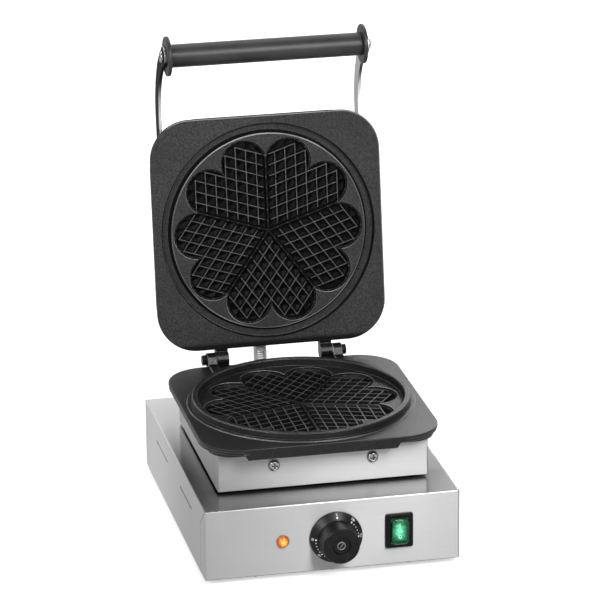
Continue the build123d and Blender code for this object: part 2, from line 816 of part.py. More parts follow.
def rim_profile():
    return [
        (RIM_TOP_IN - RIM_DRAFT, -1.0),
        (RIM_TOP_IN - RIM_DRAFT, 0),
        (RIM_TOP_IN, RIM_H - RIM_EDGE),
        (RIM_TOP_IN + RIM_EDGE, RIM_H),
        (RIM_TOP_OUT - RIM_EDGE, RIM_H),
        (RIM_TOP_OUT, RIM_H - RIM_EDGE),
        (RIM_TOP_OUT + RIM_DRAFT, RIM_FOOT_H),
        (RIM_TOP_OUT + RIM_DRAFT + RIM_FOOT - RIM_FOOT_H / 2, RIM_FOOT_H),
        (RIM_TOP_OUT + RIM_DRAFT + RIM_FOOT, 0),
        (RIM_TOP_OUT + RIM_DRAFT + RIM_FOOT, -1.0),
    ]


def lower_lug(x_middle):
    low = x_middle - LUG_T / 2
    high = x_middle + LUG_T / 2
    tangent = LUG_R * math.sqrt(0.5)
    web = [
        (plate_rear - 8, plate_bottom),
        (plate_rear - 8, plate_top + LUG_PAD_T),
        (plate_rear + 1.0, plate_top + LUG_PAD_T),
        (hinge_y - tangent, hinge_z + tangent),
        (hinge_y + tangent, hinge_z - tangent),
        (hinge_y, plate_bottom),
    ]
    lug = side_profile(web, low, high) + rod((low, hinge_y, hinge_z), (1, 0, 0), LUG_R, LUG_T)
    pad = block((low, high), (plate_rear - LUG_PAD_L, plate_rear), (plate_top - 1, plate_top + LUG_PAD_T))
    return lug + pad


def plate_lug_blocks():
    z = (ped_screw_z - LUG_BLOCK_BELOW, ped_top)
    blocks = []
    for x in (-PED_SCREW_X, PED_SCREW_X):
        wide = (x - LUG_BLOCK_W / 2, x + LUG_BLOCK_W / 2)
        blocks.append(block(wide, (-PED_FRONT + SHEET, -PED_FRONT + SHEET + LUG_BLOCK_T), z))
        blocks.append(block(wide, (PED_REAR - SHEET - LUG_BLOCK_T, PED_REAR - SHEET), z))
    return blocks


def make_lower_plate(cutters):
    plate = cast_slab(plate_top, LOWER_TIER_R, True)
    plate += slab(SEAT_HALF, SEAT_HALF, SEAT_R, ped_top, plate_bottom)
    boss_y = (-PED_FRONT + SHEET + BOSS_CLEAR, PED_REAR - SHEET - BOSS_CLEAR)
    boss_x = ped_side - SHEET - BOSS_CLEAR
    boss = block((-boss_x, boss_x), boss_y, (boss_bottom, ped_top))
    plate += fillet(boss.edges().filter_by(Axis.Z), BOSS_R)
    tab = [
        (TAB_X - TAB_HALF, plate_bottom + 1),
        (TAB_X - TAB_HALF + TAB_SLOPE, plate_bottom - TAB_H),
        (TAB_X + TAB_HALF - TAB_SLOPE, plate_bottom - TAB_H),
        (TAB_X + TAB_HALF, plate_bottom + 1),
    ]
    face = make_face(Plane.XZ * Polyline(*tab, close=True))
    plate += Pos(0, plate_front, 0) * extrude(face, amount=TAB_T, dir=(0, 1, 0))
    plate += ring(rim_profile(), plate_top)
    for piece in both_sides(lower_lug(LUG_X)) + plate_lug_blocks():
        plate += piece
    for x in (-PED_SCREW_X, PED_SCREW_X):
        plate -= rod((x, -PED_FRONT, ped_screw_z), (0, 1, 0), PED_SCREW_R, PED_SCREW_L)
        plate -= rod((x, PED_REAR, ped_screw_z), (0, -1, 0), PED_SCREW_R, PED_SCREW_L)
    plate -= rod((-LUG_X - LUG_T, hinge_y, hinge_z), (1, 0, 0), HINGE_BOLT_R, 2 * (LUG_X + LUG_T))
    plate -= rod((0, PLATE_Y, boss_bottom), (0, 0, 1), CLAMP_SCREW_R, STUD_DEPTH)
    return carve(plate, cutters, plate_top, False)


def upper_knuckle(x_middle):
    low = x_middle - KNUCKLE_T / 2
    high = x_middle + KNUCKLE_T / 2
    web = [
        (plate_rear - 8, face_z),
        (plate_rear - 8, upper_back + UPPER_BACK_T),
        (plate_rear, upper_back + UPPER_BACK_T),
        (hinge_y + KNUCKLE_R * 0.6, hinge_z + KNUCKLE_R * 0.8),
        (hinge_y, hinge_z),
        (plate_rear, face_z),
    ]
    knuckle = side_profile(web, low, high) + rod((low, hinge_y, hinge_z), (1, 0, 0), KNUCKLE_R, KNUCKLE_T)
    # the nose that meets the lower plate's rear edge when the lid stands open
    nose_y = (plate_rear + STOP_GAP, hinge_y)
    nose = block((low, high), nose_y, (plate_top - STOP_H - 1, plate_top - 1))
    closed_nose = nose.rotate(Axis((0, hinge_y, hinge_z), (1, 0, 0)), LID_OPEN)
    return knuckle + closed_nose


def cover_lug_blocks():
    blocks = []
    z = (upper_back, cover_bottom + COVER_LUG_H)
    inner = COVER_HALF - SHEET
    for x in (-COVER_SCREW_X, COVER_SCREW_X):
        wide = (x - COVER_LUG_W / 2, x + COVER_LUG_W / 2)
        blocks.append(block(wide, (PLATE_Y - inner, PLATE_Y - inner + COVER_LUG_T), z))
        blocks.append(block(wide, (PLATE_Y + inner - COVER_LUG_T, PLATE_Y + inner), z))
    return blocks


def make_upper_plate(cutters):
    plate = cast_slab(face_z, TIER_R, False)
    back_half = PLATE_HALF - UPPER_BACK_INSET
    plate += slab(back_half, back_half, TIER_R - UPPER_BACK_INSET, upper_back, cover_bottom)
    boss_half = COVER_HALF - SHEET - BOSS_CLEAR
    plate += slab(boss_half, boss_half, BOSS_R, cover_bottom, cover_bottom + UPPER_BOSS_T)
    for piece in both_sides(upper_knuckle(KNUCKLE_X)) + cover_lug_blocks():
        plate += piece
    depth = RIM_H - CLOSED_GAP + RIM_CLEAR
    groove = [
        (GROOVE_IN - GROOVE_EDGE, -1.0),
        (GROOVE_IN - GROOVE_EDGE, 0),
        (GROOVE_IN, GROOVE_EDGE),
        (GROOVE_IN + GROOVE_DRAFT, depth),
        (GROOVE_OUT - GROOVE_DRAFT, depth),
        (GROOVE_OUT, 0),
        (GROOVE_OUT, -1.0),
    ]
    plate -= ring(groove, face_z)
    bore = HINGE_BOLT_R + HINGE_PLAY
    for piece in both_sides(rod((pin_end - PIN_CLEAR, hinge_y, hinge_z), (1, 0, 0), bore, LUG_X - pin_end)):
        plate -= piece
    for seat, outward in cover_screw_seats():
        plate -= rod(seat, tuple(-c for c in outward), ARM_SCREW_R, ARM_SCREW_L)
    plate -= rod((0, PLATE_Y, upper_boss_top), (0, 0, -1), CLAMP_SCREW_R, STUD_DEPTH)
    return opened(carve(plate, cutters, face_z, True))


# Hinge hardware
def hinge_pieces():
    # a pivot screw fixed in each lug, whose plain end is the knuckle's pin
    outer = LUG_X + LUG_T / 2
    screw = hexagon((outer + WASHER_T, hinge_y, hinge_z), (1, 0, 0), BOLT_HEAD_AF, BOLT_HEAD_H)
    screw = chamfer(screw.faces().sort_by(Axis.X)[-1].edges(), 0.5)
    screw += rod((pin_end, hinge_y, hinge_z), (1, 0, 0), HINGE_BOLT_R, outer + WASHER_T - pin_end)
    washer = rod((outer, hinge_y, hinge_z), (1, 0, 0), WASHER_R, WASHER_T)
    washer -= rod((outer, hinge_y, hinge_z), (1, 0, 0), HINGE_BOLT_R, WASHER_T)
    return {
        "hinge_bolts": group(*both_sides(screw)),
        "hinge_washers": group(*both_sides(washer)),
    }


# Upper cover
def cover_screw_seats():
    z = cover_bottom + COVER_SCREW_RISE
    seats = []
    for x in (-COVER_SCREW_X, COVER_SCREW_X):
        seats.append(((x, PLATE_Y - COVER_HALF, z), (0, -1, 0)))
        seats.append(((x, PLATE_Y + COVER_HALF, z), (0, 1, 0)))
    return seats


def arm_screw_points():
    return [(COVER_HALF, PLATE_Y - ARM_SCREW_1, arm_z), (COVER_HALF, PLATE_Y - ARM_SCREW_2, arm_z)]


def make_upper_cover():
    cover = slab(COVER_HALF, COVER_HALF, COVER_R, cover_bottom, cover_top)
    cover = fillet(cover.faces().sort_by(Axis.Z)[-1].edges(), BEND_R)
    inside = COVER_HALF - SHEET
    cover -= slab(inside, inside, COVER_R - SHEET, cover_bottom - 1, cover_top - SHEET)
    for seat, outward in cover_screw_seats():
        cover -= rod(seat, tuple(-c for c in outward), ARM_SCREW_R, 3 * SHEET)
    for point in arm_screw_points():
        for hole in both_sides(rod(point, (-1, 0, 0), ARM_SCREW_R, 3 * SHEET)):
            cover -= hole
    gland = (CONDUIT_X, PLATE_Y + COVER_HALF, lid_gland_z)
    cover -= rod(gland, (0, -1, 0), GLAND_THREAD_R, 3 * SHEET)
    return opened(cover)


def make_cover_screws():
    screws = [
        pan_screw(seat, outward, ARM_HEAD_R, ARM_HEAD_H, ARM_SCREW_R, ARM_SCREW_L)
        for seat, outward in cover_screw_seats()
    ]
    return opened(group(*screws))


# Handle
def handle_axis():
    return PLATE_Y - HANDLE_OUT, face_z - HANDLE_DROP


def arm_outline():
    # flat bar: straight along the cover, then one arc down to the grip
    grip_y, grip_z = handle_axis()
    tangent_y = PLATE_Y - ARM_TANGENT_OUT
    root_y = PLATE_Y - ARM_ROOT_OUT
    across = tangent_y - grip_y
    fall = arm_z - grip_z
    radius = (across ** 2 + fall ** 2) / (2 * fall)
    centre = (tangent_y, arm_z - radius)
    end_angle = math.atan2(grip_z - centre[1], grip_y - centre[0])
    mid_angle = (math.pi / 2 + end_angle) / 2
    half = ARM_W / 2

    def on_arc(angle, offset):
        r = radius + offset
        return (centre[0] + r * math.cos(angle), centre[1] + r * math.sin(angle))

    low, high = arm_z - half, arm_z + half
    lines = [
        Line((root_y, low), (tangent_y, low)),
        ThreePointArc((tangent_y, low), on_arc(mid_angle, -half), on_arc(end_angle, -half)),
        Line(on_arc(end_angle, -half), on_arc(end_angle, half)),
        ThreePointArc(on_arc(end_angle, half), on_arc(mid_angle, half), (tangent_y, high)),
        Line((tangent_y, high), (root_y, high)),
        ThreePointArc((root_y, high), (root_y + half, arm_z), (root_y, low)),
    ]
    bar = Sketch() + make_face(Curve() + lines)
    return bar + Pos(grip_y, grip_z) * Circle(ARM_END_R)


def make_arm():
    grip_y, grip_z = handle_axis()
    arm = extrude(Plane.YZ * arm_outline(), amount=ARM_T, dir=(1, 0, 0))
    arm = Pos(COVER_HALF, 0, 0) * arm
    for point in arm_screw_points():
        arm -= rod(point, (1, 0, 0), ARM_SCREW_R, ARM_T)
    return arm - rod((COVER_HALF, grip_y, grip_z), (1, 0, 0), HANDLE_SCREW_R, ARM_T)


def make_arm_screws():
    screws = []
    for x, y, z in arm_screw_points():
        seat = (x + ARM_T, y, z)
        screw = pan_screw(seat, (1, 0, 0), ARM_HEAD_R, ARM_HEAD_H, ARM_SCREW_R, ARM_SCREW_L)
        screws += both_sides(screw)
    return opened(group(*screws))


def make_arm_nuts():
    nuts = []
    for x, y, z in arm_screw_points():
        start = (x - SHEET - SMALL_NUT_H, y, z)
        nut = hexagon(start, (1, 0, 0), NUT_AF, SMALL_NUT_H)
        nuts += both_sides(nut - rod(start, (1, 0, 0), ARM_SCREW_R, SMALL_NUT_H))
    return opened(group(*nuts))


def make_handle_grip():
    grip_y, grip_z = handle_axis()
    half = COVER_HALF - DISC_T
    tube = rod((-half, grip_y, grip_z), (1, 0, 0), HANDLE_R, 2 * half)
    return opened(tube - rod((-half, grip_y, grip_z), (1, 0, 0), HANDLE_BORE_R, 2 * half))


def make_handle_discs():
    grip_y, grip_z = handle_axis()
    disc = rod((COVER_HALF - DISC_T, grip_y, grip_z), (1, 0, 0), DISC_R, DISC_T)
    disc = fillet(disc.edges().filter_by(GeomType.CIRCLE), DISC_EDGE)
    disc -= rod((COVER_HALF - DISC_T, grip_y, grip_z), (1, 0, 0), HANDLE_ROD_R, DISC_T)
    return opened(group(*both_sides(disc)))


def make_handle_rod():
    grip_y, grip_z = handle_axis()
    core = rod((-COVER_HALF, grip_y, grip_z), (1, 0, 0), HANDLE_ROD_R, 2 * COVER_HALF)
    depth = HANDLE_SCREW_L - ARM_T
    hole = rod((COVER_HALF - depth, grip_y, grip_z), (1, 0, 0), HANDLE_SCREW_R, depth)
    return opened(core - both_sides(hole))


def make_handle_screws():
    grip_y, grip_z = handle_axis()
    seat = (COVER_HALF + ARM_T, grip_y, grip_z)
    screw = pan_screw(seat, (1, 0, 0), HANDLE_HEAD_R, HANDLE_HEAD_H, HANDLE_SCREW_R, HANDLE_SCREW_L)
    return opened(group(*both_sides(screw)))


# Heaters
def heater_path():
    near = -HEATER_NEAR
    points = [
        (-HEATER_LEG_X, HEATER_LEG_Y),
        (-HEATER_LEG_X, HEATER_FAR * 0.75),
        (-HEATER_SIDE, HEATER_FAR * 0.75),
        (-HEATER_SIDE, near - 20),
        (0, near - 32),
        (HEATER_SIDE, near - 20),
        (HEATER_SIDE, HEATER_FAR * 0.75),
        (HEATER_LEG_X, HEATER_FAR * 0.75),
        (HEATER_LEG_X, HEATER_LEG_Y),
    ]
    return FilletPolyline(*points, radius=HEATER_BEND)


def heater(z):
    path = heater_path()
    section = Plane(origin=path @ 0, z_dir=path % 0) * Circle(HEATER_R)
    return Pos(0, PLATE_Y, z) * sweep(section, path=path)


def clamp_plate(z_low, z_high):
    plate = slab(CLAMP_HALF, CLAMP_HALF, 12.0, z_low, z_high)
    plate -= rod((0, WIRE_Y, z_low - 1), (0, 0, 1), WIRE_HOLE_R, CLAMP_T + 2)
    return plate - rod((0, PLATE_Y, z_low - 1), (0, 0, 1), CLAMP_SCREW_R, CLAMP_T + 2)


def clamp_stud(z_plate, z_nut, direction):
    # a stud in the casting, and the nut that holds the clamp plate against the heater
    length = abs(z_plate - z_nut) + CLAMP_NUT_H + STUD_END
    stud = rod((0, PLATE_Y, z_plate), (0, 0, direction), CLAMP_SCREW_R, length)
    nut = hexagon((0, PLATE_Y, z_nut), (0, 0, direction), BOLT_HEAD_AF, CLAMP_NUT_H)
    return stud, nut - rod((0, PLATE_Y, z_nut), (0, 0, direction), CLAMP_SCREW_R, CLAMP_NUT_H)


def lower_heating():
    heater_z = boss_bottom - HEATER_R
    clamp_top = boss_bottom - 2 * HEATER_R
    clamp_low = clamp_top - CLAMP_T
    stud, nut = clamp_stud(boss_bottom + STUD_DEPTH, clamp_low, -1)
    blanket = block(
        (-ped_side + BLANKET_INSET, ped_side - BLANKET_INSET),
        (-PED_FRONT + BLANKET_INSET + LUG_BLOCK_T, PED_REAR - BLANKET_INSET - LUG_BLOCK_T),
        (floor_top, clamp_low),
    )
    blanket -= rod((0, WIRE_Y, floor_top), (0, 0, 1), WIRE_HOLE_R, clamp_low - floor_top)
    blanket -= rod((0, PLATE_Y, clamp_low), (0, 0, -1), NUT_POCKET_R, CLAMP_NUT_H + 2 * STUD_END)
    return {
        "lower_heater": heater(heater_z),
        "lower_clamp_plate": clamp_plate(clamp_low, clamp_top),
        "lower_clamp_stud": group(stud),
        "lower_clamp_nut": group(nut),
        "lower_insulation": blanket,
    }


def upper_heating():
    heater_z = upper_boss_top + HEATER_R
    clamp_low = upper_boss_top + 2 * HEATER_R
    clamp_high = clamp_low + CLAMP_T
    stud, nut = clamp_stud(upper_boss_top - STUD_DEPTH, clamp_high, 1)
    inner = COVER_HALF - SHEET - COVER_LUG_T - 1
    blanket = slab(COVER_HALF - SHEET - BLANKET_INSET, inner, 8.0, clamp_high, cover_top - SHEET)
    blanket -= rod((0, PLATE_Y, clamp_high), (0, 0, 1), NUT_POCKET_R, CLAMP_NUT_H + 2 * STUD_END)
    return {
        "upper_heater": opened(heater(heater_z)),
        "upper_clamp_plate": opened(clamp_plate(clamp_low, clamp_high)),
        "upper_clamp_stud": opened(group(stud)),
        "upper_clamp_nut": opened(group(nut)),
        "upper_insulation": opened(blanket),
    }


def make_thermostat_bulb():
    # sensing bulb against the lower casting, with its capillary led down to the thermostat
    z = boss_bottom - BULB_R
    bulb_end = PLATE_Y - BULB_FRONT + BULB_L
    turn_y = WIRE_Y
    bulb = rod((BULB_X, turn_y + 12, z), (0, 1, 0), BULB_R, bulb_end - turn_y - 12)
    low_z = control_z + 8
    back_y = front + SHEET + THERMOSTAT_L
    points = [
        (BULB_X, turn_y + 12, z),
        (BULB_X, turn_y, z),
        (BULB_X, turn_y, low_z),
        (BULB_X, back_y, low_z),
    ]
    path = FilletPolyline(*points, radius=8.0)
    section = Plane(origin=path @ 0, z_dir=path % 0) * Circle(CAPILLARY_R)
    return bulb + sweep(section, path=path)


# Flexible conduit
def hose_centre_line():
    turn = math.radians(LID_OPEN - 90)
    arc = HOSE_GAP - 2 * HOSE_END
    radius = arc / math.sin(turn)
    return turn, radius


def hose_start():
    # the lid's gland points down the hose when the lid is open; work back from it to the base
    turn, radius = hose_centre_line()
    tip = lid_gland_tip()
    up = tip[1] - HOSE_END * math.cos(turn) - radius * math.sin(turn) - HOSE_END
    back = tip[0] - HOSE_END * math.sin(turn) - radius * (1 - math.cos(turn))
    return back, up


def lid_gland_tip():
    # where the closed lid's gland tip goes when the lid opens
    closed_y = PLATE_Y + COVER_HALF + GLAND_H - hinge_y
    closed_z = lid_gland_z - hinge_z
    angle = math.radians(-LID_OPEN)
    y = hinge_y + closed_y * math.cos(angle) - closed_z * math.sin(angle)
    z = hinge_z + closed_y * math.sin(angle) + closed_z * math.cos(angle)
    return y, z


def hose_frame(distance):
    # centre and direction of the hose at a distance from its lower end
    turn, radius = hose_centre_line()
    y0, z0 = hose_start()
    arc = radius * turn
    if distance <= HOSE_END:
        return (CONDUIT_X, y0, z0 + distance), (0, 0, 1)
    if distance <= HOSE_END + arc:
        bend = (distance - HOSE_END) / radius
        centre = (CONDUIT_X, y0 + radius * (1 - math.cos(bend)), z0 + HOSE_END + radius * math.sin(bend))
        return centre, (0, math.sin(bend), math.cos(bend))
    past = distance - HOSE_END - arc
    y = y0 + radius * (1 - math.cos(turn)) + past * math.sin(turn)
    z = z0 + HOSE_END + radius * math.sin(turn) + past * math.cos(turn)
    return (CONDUIT_X, y, z), (0, math.sin(turn), math.cos(turn))


def hose_length():
    turn, radius = hose_centre_line()
    return 2 * HOSE_END + radius * turn


def hose_circle(distance, radius):
    origin, direction = hose_frame(distance)
    return Plane(origin=origin, x_dir=(1, 0, 0), z_dir=direction) * Circle(radius)


def make_conduit():
    length = hose_length()
    ribs = round(length / RIB_PITCH)
    pitch = length / ribs
    stations = []
    for rib in range(ribs):
        for share, radius in ((0.0, -HOSE_VALLEY), (0.25, 0), (0.55, 0), (0.8, -HOSE_VALLEY)):
            stations.append(((rib + share) * pitch, HOSE_R + radius))
    stations.append((length, HOSE_R - HOSE_VALLEY))
    outer = loft([hose_circle(*station) for station in stations], ruled=True)
    bore_steps = [length * step / 12 for step in range(13)]
    bore = loft([hose_circle(step, HOSE_BORE_R) for step in bore_steps], ruled=True)
    return outer - bore


def gland(seat, outward, across_flats, height, tip_r, thread_r, bore_r, nut_h):
    # hexagon body outside the sheet, its thread through the sheet, and a lock nut inside
    inward = tuple(-c for c in outward)
    body = hexagon(seat, outward, across_flats, height * 0.6)
    body += rod(seat, outward, tip_r, height)
    body += rod(seat, inward, thread_r, SHEET + nut_h + 1)
    body -= rod(tuple(s + i * 30 for s, i in zip(seat, inward)), outward, bore_r, 60 + height)
    nut_seat = tuple(s + i * SHEET for s, i in zip(seat, inward))
    nut = hexagon(nut_seat, inward, across_flats + 2, nut_h)
    return body, nut - rod(nut_seat, inward, thread_r, nut_h)


def make_glands():
    base_seat = (CONDUIT_X, conduit_y, base_top)
    base_height = hose_start()[1] - base_top
    lid_seat = (CONDUIT_X, PLATE_Y + COVER_HALF, lid_gland_z)
    common = (GLAND_TIP_R, GLAND_THREAD_R, HOSE_BORE_R, GLAND_NUT_H)
    base_body, base_nut = gland(base_seat, (0, 0, 1), GLAND_AF, base_height, *common)
    lid_body, lid_nut = gland(lid_seat, (0, 1, 0), GLAND_AF, GLAND_H, *common)
    cable_seat = (cable_x, rear, cable_z)
    cable_body, cable_nut = gland(
        cable_seat, (0, 1, 0), CABLE_GLAND_AF, CABLE_GLAND_H, CABLE_GLAND_AF / 2 - 1.5,
        CABLE_THREAD_R, CABLE_BORE_R, GLAND_NUT_H,
    )
    return {
        "conduit_gland_base": base_body,
        "conduit_nut_base": base_nut,
        "conduit_gland_lid": opened(lid_body),
        "conduit_nut_lid": opened(lid_nut),
        "cable_gland": cable_body,
        "cable_gland_nut": cable_nut,
    }


def make_terminal_block():
    y = (rear - BLOCK_FROM_REAR - BLOCK_D, rear - BLOCK_FROM_REAR)
    x = (cable_x - BLOCK_W / 2, cable_x + BLOCK_W / 2)
    z_low = base_bottom + SHEET
    body = block(x, y, (z_low, z_low + BLOCK_H))
    for way in (-1, 0, 1):
        start = (cable_x + way * BLOCK_PITCH, y[0] - 1, z_low + BLOCK_H / 2)
        body -= rod(start, (0, 1, 0), BLOCK_HOLE_R, BLOCK_D + 2)
    return body


# Values that follow from several sections
ped_screw_z = ped_top - PED_SCREW_DROP
upper_boss_top = cover_bottom + UPPER_BOSS_T
lid_gland_z = face_z + LID_GLAND_BACK
conduit_y = hose_start()[0]
cable_z = base_bottom + CABLE_Z


def footprint_middle(nodes):
    # halfway from the knob's front to the open lid's back
    boxes = [piece.bounding_box() for piece in nodes.values()]
    return (min(box.min.Y for box in boxes) + max(box.max.Y for box in boxes)) / 2


def make_nodes():
    cutters = relief_cutters()
    nodes = {
        "base_housing": make_base_housing(),
        "front_panel": make_front_panel(),
        "rear_panel": make_rear_panel(),
        "bottom_plate": make_bottom_plate(),
        "bottom_screws": make_bottom_screws(),
        "feet": make_feet(),
        "foot_screws": make_foot_screws(),
        "foot_nuts": make_foot_nuts(),
        "thermostat_body": make_thermostat_body(),
        "thermostat_screws": make_thermostat_screws(),
        "thermostat_shaft": make_thermostat_shaft(),
        "thermostat_bulb": make_thermostat_bulb(),
        "control_knob": make_knob(),
        "knob_button": make_knob_button(),
        "pilot_lens": make_lamp_lens(),
        "pilot_lamp_body": make_lamp_body(),
        "pilot_lamp_nut": make_lamp_nut(),
        "switch_frame": make_switch_frame(),
        "switch_body": make_switch_body(),
        "rocker": make_rocker(),
        "switch_cap": make_switch_cap(),
        "terminal_block": make_terminal_block(),
        "pedestal_housing": make_pedestal_housing(),
        "pedestal_front": make_pedestal_front(),
        "pedestal_spacer": make_spacer(),
        "pedestal_screws": make_pedestal_screws(),
        "lower_plate": make_lower_plate(cutters),
        "upper_plate": make_upper_plate(cutters),
        "upper_cover": make_upper_cover(),
        "cover_screws": make_cover_screws(),
        "handle_arm_left": opened(mirror(make_arm(), about=Plane.YZ)),
        "handle_arm_right": opened(make_arm()),
        "arm_screws": make_arm_screws(),
        "arm_nuts": make_arm_nuts(),
        "handle_grip": make_handle_grip(),
        "handle_discs": make_handle_discs(),
        "handle_rod": make_handle_rod(),
        "handle_screws": make_handle_screws(),
        "conduit": make_conduit(),
    }
    nodes.update(hinge_pieces())
    nodes.update(lower_heating())
    nodes.update(upper_heating())
    nodes.update(make_glands())
    return nodes


pieces = make_nodes()
middle_y = footprint_middle(pieces)
parts = {name: Pos(0, -middle_y, 0) * piece for name, piece in pieces.items()}
print("middle_y", round(middle_y, 4))
os.makedirs("parts", exist_ok=True)
for name, piece in parts.items():
    export_step(piece, f"parts/{name}.step")
    print(name, len(piece.solids()), round(piece.volume, 1))
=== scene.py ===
import math

import bpy
from mathutils import Matrix, Vector


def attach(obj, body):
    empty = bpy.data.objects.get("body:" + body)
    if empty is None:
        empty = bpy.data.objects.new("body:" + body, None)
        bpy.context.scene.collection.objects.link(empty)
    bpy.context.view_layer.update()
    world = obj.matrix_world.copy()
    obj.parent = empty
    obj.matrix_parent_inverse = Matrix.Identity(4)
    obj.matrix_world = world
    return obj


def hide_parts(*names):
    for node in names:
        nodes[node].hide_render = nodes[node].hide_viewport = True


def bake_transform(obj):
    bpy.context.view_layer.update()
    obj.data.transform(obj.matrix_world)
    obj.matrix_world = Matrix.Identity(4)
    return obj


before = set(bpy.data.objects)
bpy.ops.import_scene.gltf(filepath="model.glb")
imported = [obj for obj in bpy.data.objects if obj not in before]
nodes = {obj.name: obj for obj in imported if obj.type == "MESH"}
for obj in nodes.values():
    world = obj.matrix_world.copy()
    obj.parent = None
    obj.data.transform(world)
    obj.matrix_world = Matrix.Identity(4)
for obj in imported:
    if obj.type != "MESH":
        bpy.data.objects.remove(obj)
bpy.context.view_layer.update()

# Places of the model's main planes
FRONT_Y = -0.166072
PLATE_Y = -0.021572
LOWER_FACE_Z = 0.1322
HINGE = Vector((0.0, 0.111028, 0.1353))
LID_OPEN = math.radians(-99.0)
UPPER_CENTRE = Vector((0.0, 0.130783, 0.266424))
KNOB = Vector((0.003, FRONT_Y, 0.041))
LAMP = Vector((-0.051, FRONT_Y, 0.041))
ROCKER = Vector((0.0675, FRONT_Y, 0.0421))

# Heart relief, in millimetres on the plates' faces
HEARTS = 5
RIM_IN = 102.0
GRID_FIRST = 10.0
GRID_PITCH = 10.9
LOW_GROUND = (0.3, 0.9)
CREST_TOP = ((1.4, 1.7), (2.6, 2.1))
CREST_HALF = (0.50, 0.25)
PIT_BOTTOM = (5.2, 6.0)

# Rings of the upper plate's groove, where its painted shade and highlight go: the radii where each starts,
# is full, ends and fades, in millimetres
GROOVE_LIP = ((102.1, 102.5), (103.4, 103.0))
GROOVE_FOOT = ((103.2, 103.5), (106.2, 105.6))
GROOVE_FLOOR = ((105.0, 105.6), (112.6, 112.0))
GROOVE_WALL = ((112.4, 112.8), (113.9, 113.5))
FLANGE = (116.0, 117.0)

# Directions in which the castings' worn edges carry a painted highlight
LOWER_LIT = (-0.62, -0.62, 0.48)
UPPER_LIT = (0.35, -0.35, 0.87)
RIM_LIT = (0.30, -0.73, 0.61)

# Distances from the hinge axis where its glossy zone ends and where it is full
HINGE_ZONE = (0.019, 0.014)

# Conduit between the glands: straight, a slight bend, straight
HOSE_START = Vector((-0.010, 0.132810, 0.088323))
HOSE_STRAIGHT = 0.017
HOSE_BEND = math.radians(9.0)
HOSE_BEND_R = 0.17899
HOSE_R = 0.0070
HOSE_VALLEY = 0.0003
HOSE_BORE_R = 0.0052
HOSE_RIBS = 26
ROWS_PER_RIB = 8
BORE_ROWS = 24

# Knob skirt and its marks
SKIRT_R = 0.0266
SKIRT_TOP_R = 0.0200
SKIRT_EDGE_Y = 0.0028
SKIRT_TOP_Y = 0.0074
DOT_R = 0.0218
NUMERAL_R = 0.0246
SCALE_START = 88.0
SCALE_STEP = 9.2
SCALE_DOTS = 26

# Bright ring and slot in the knob's dished front
RING_CENTRE = Vector((KNOB.x, FRONT_Y - 0.0248, KNOB.z))
RING_R = 0.0038
RING_HALF_WIDTH = 0.00055
RING_HALF_HEIGHT = 0.00035
SLOT_HALF_LENGTH = 0.0030
SLOT_HALF_WIDTH = 0.00045
SLOT_HEIGHT = 0.0003
SLOT_LEAN = math.radians(38)

# Marks on the rocker
MARK_X = 0.0004
CIRCLE_Z = -0.0062
BAR_Z = 0.0060

# Camera fitted to the photograph
CAMERA_TARGET = Vector((0.00359, -0.003572, 0.23495))
CAMERA_AZIMUTH = math.radians(12.28)
CAMERA_ELEVATION = math.radians(19.26)
CAMERA_ROLL = math.radians(-0.43)
CAMERA_DISTANCE = 3.97908
CAMERA_LENS = 234.9


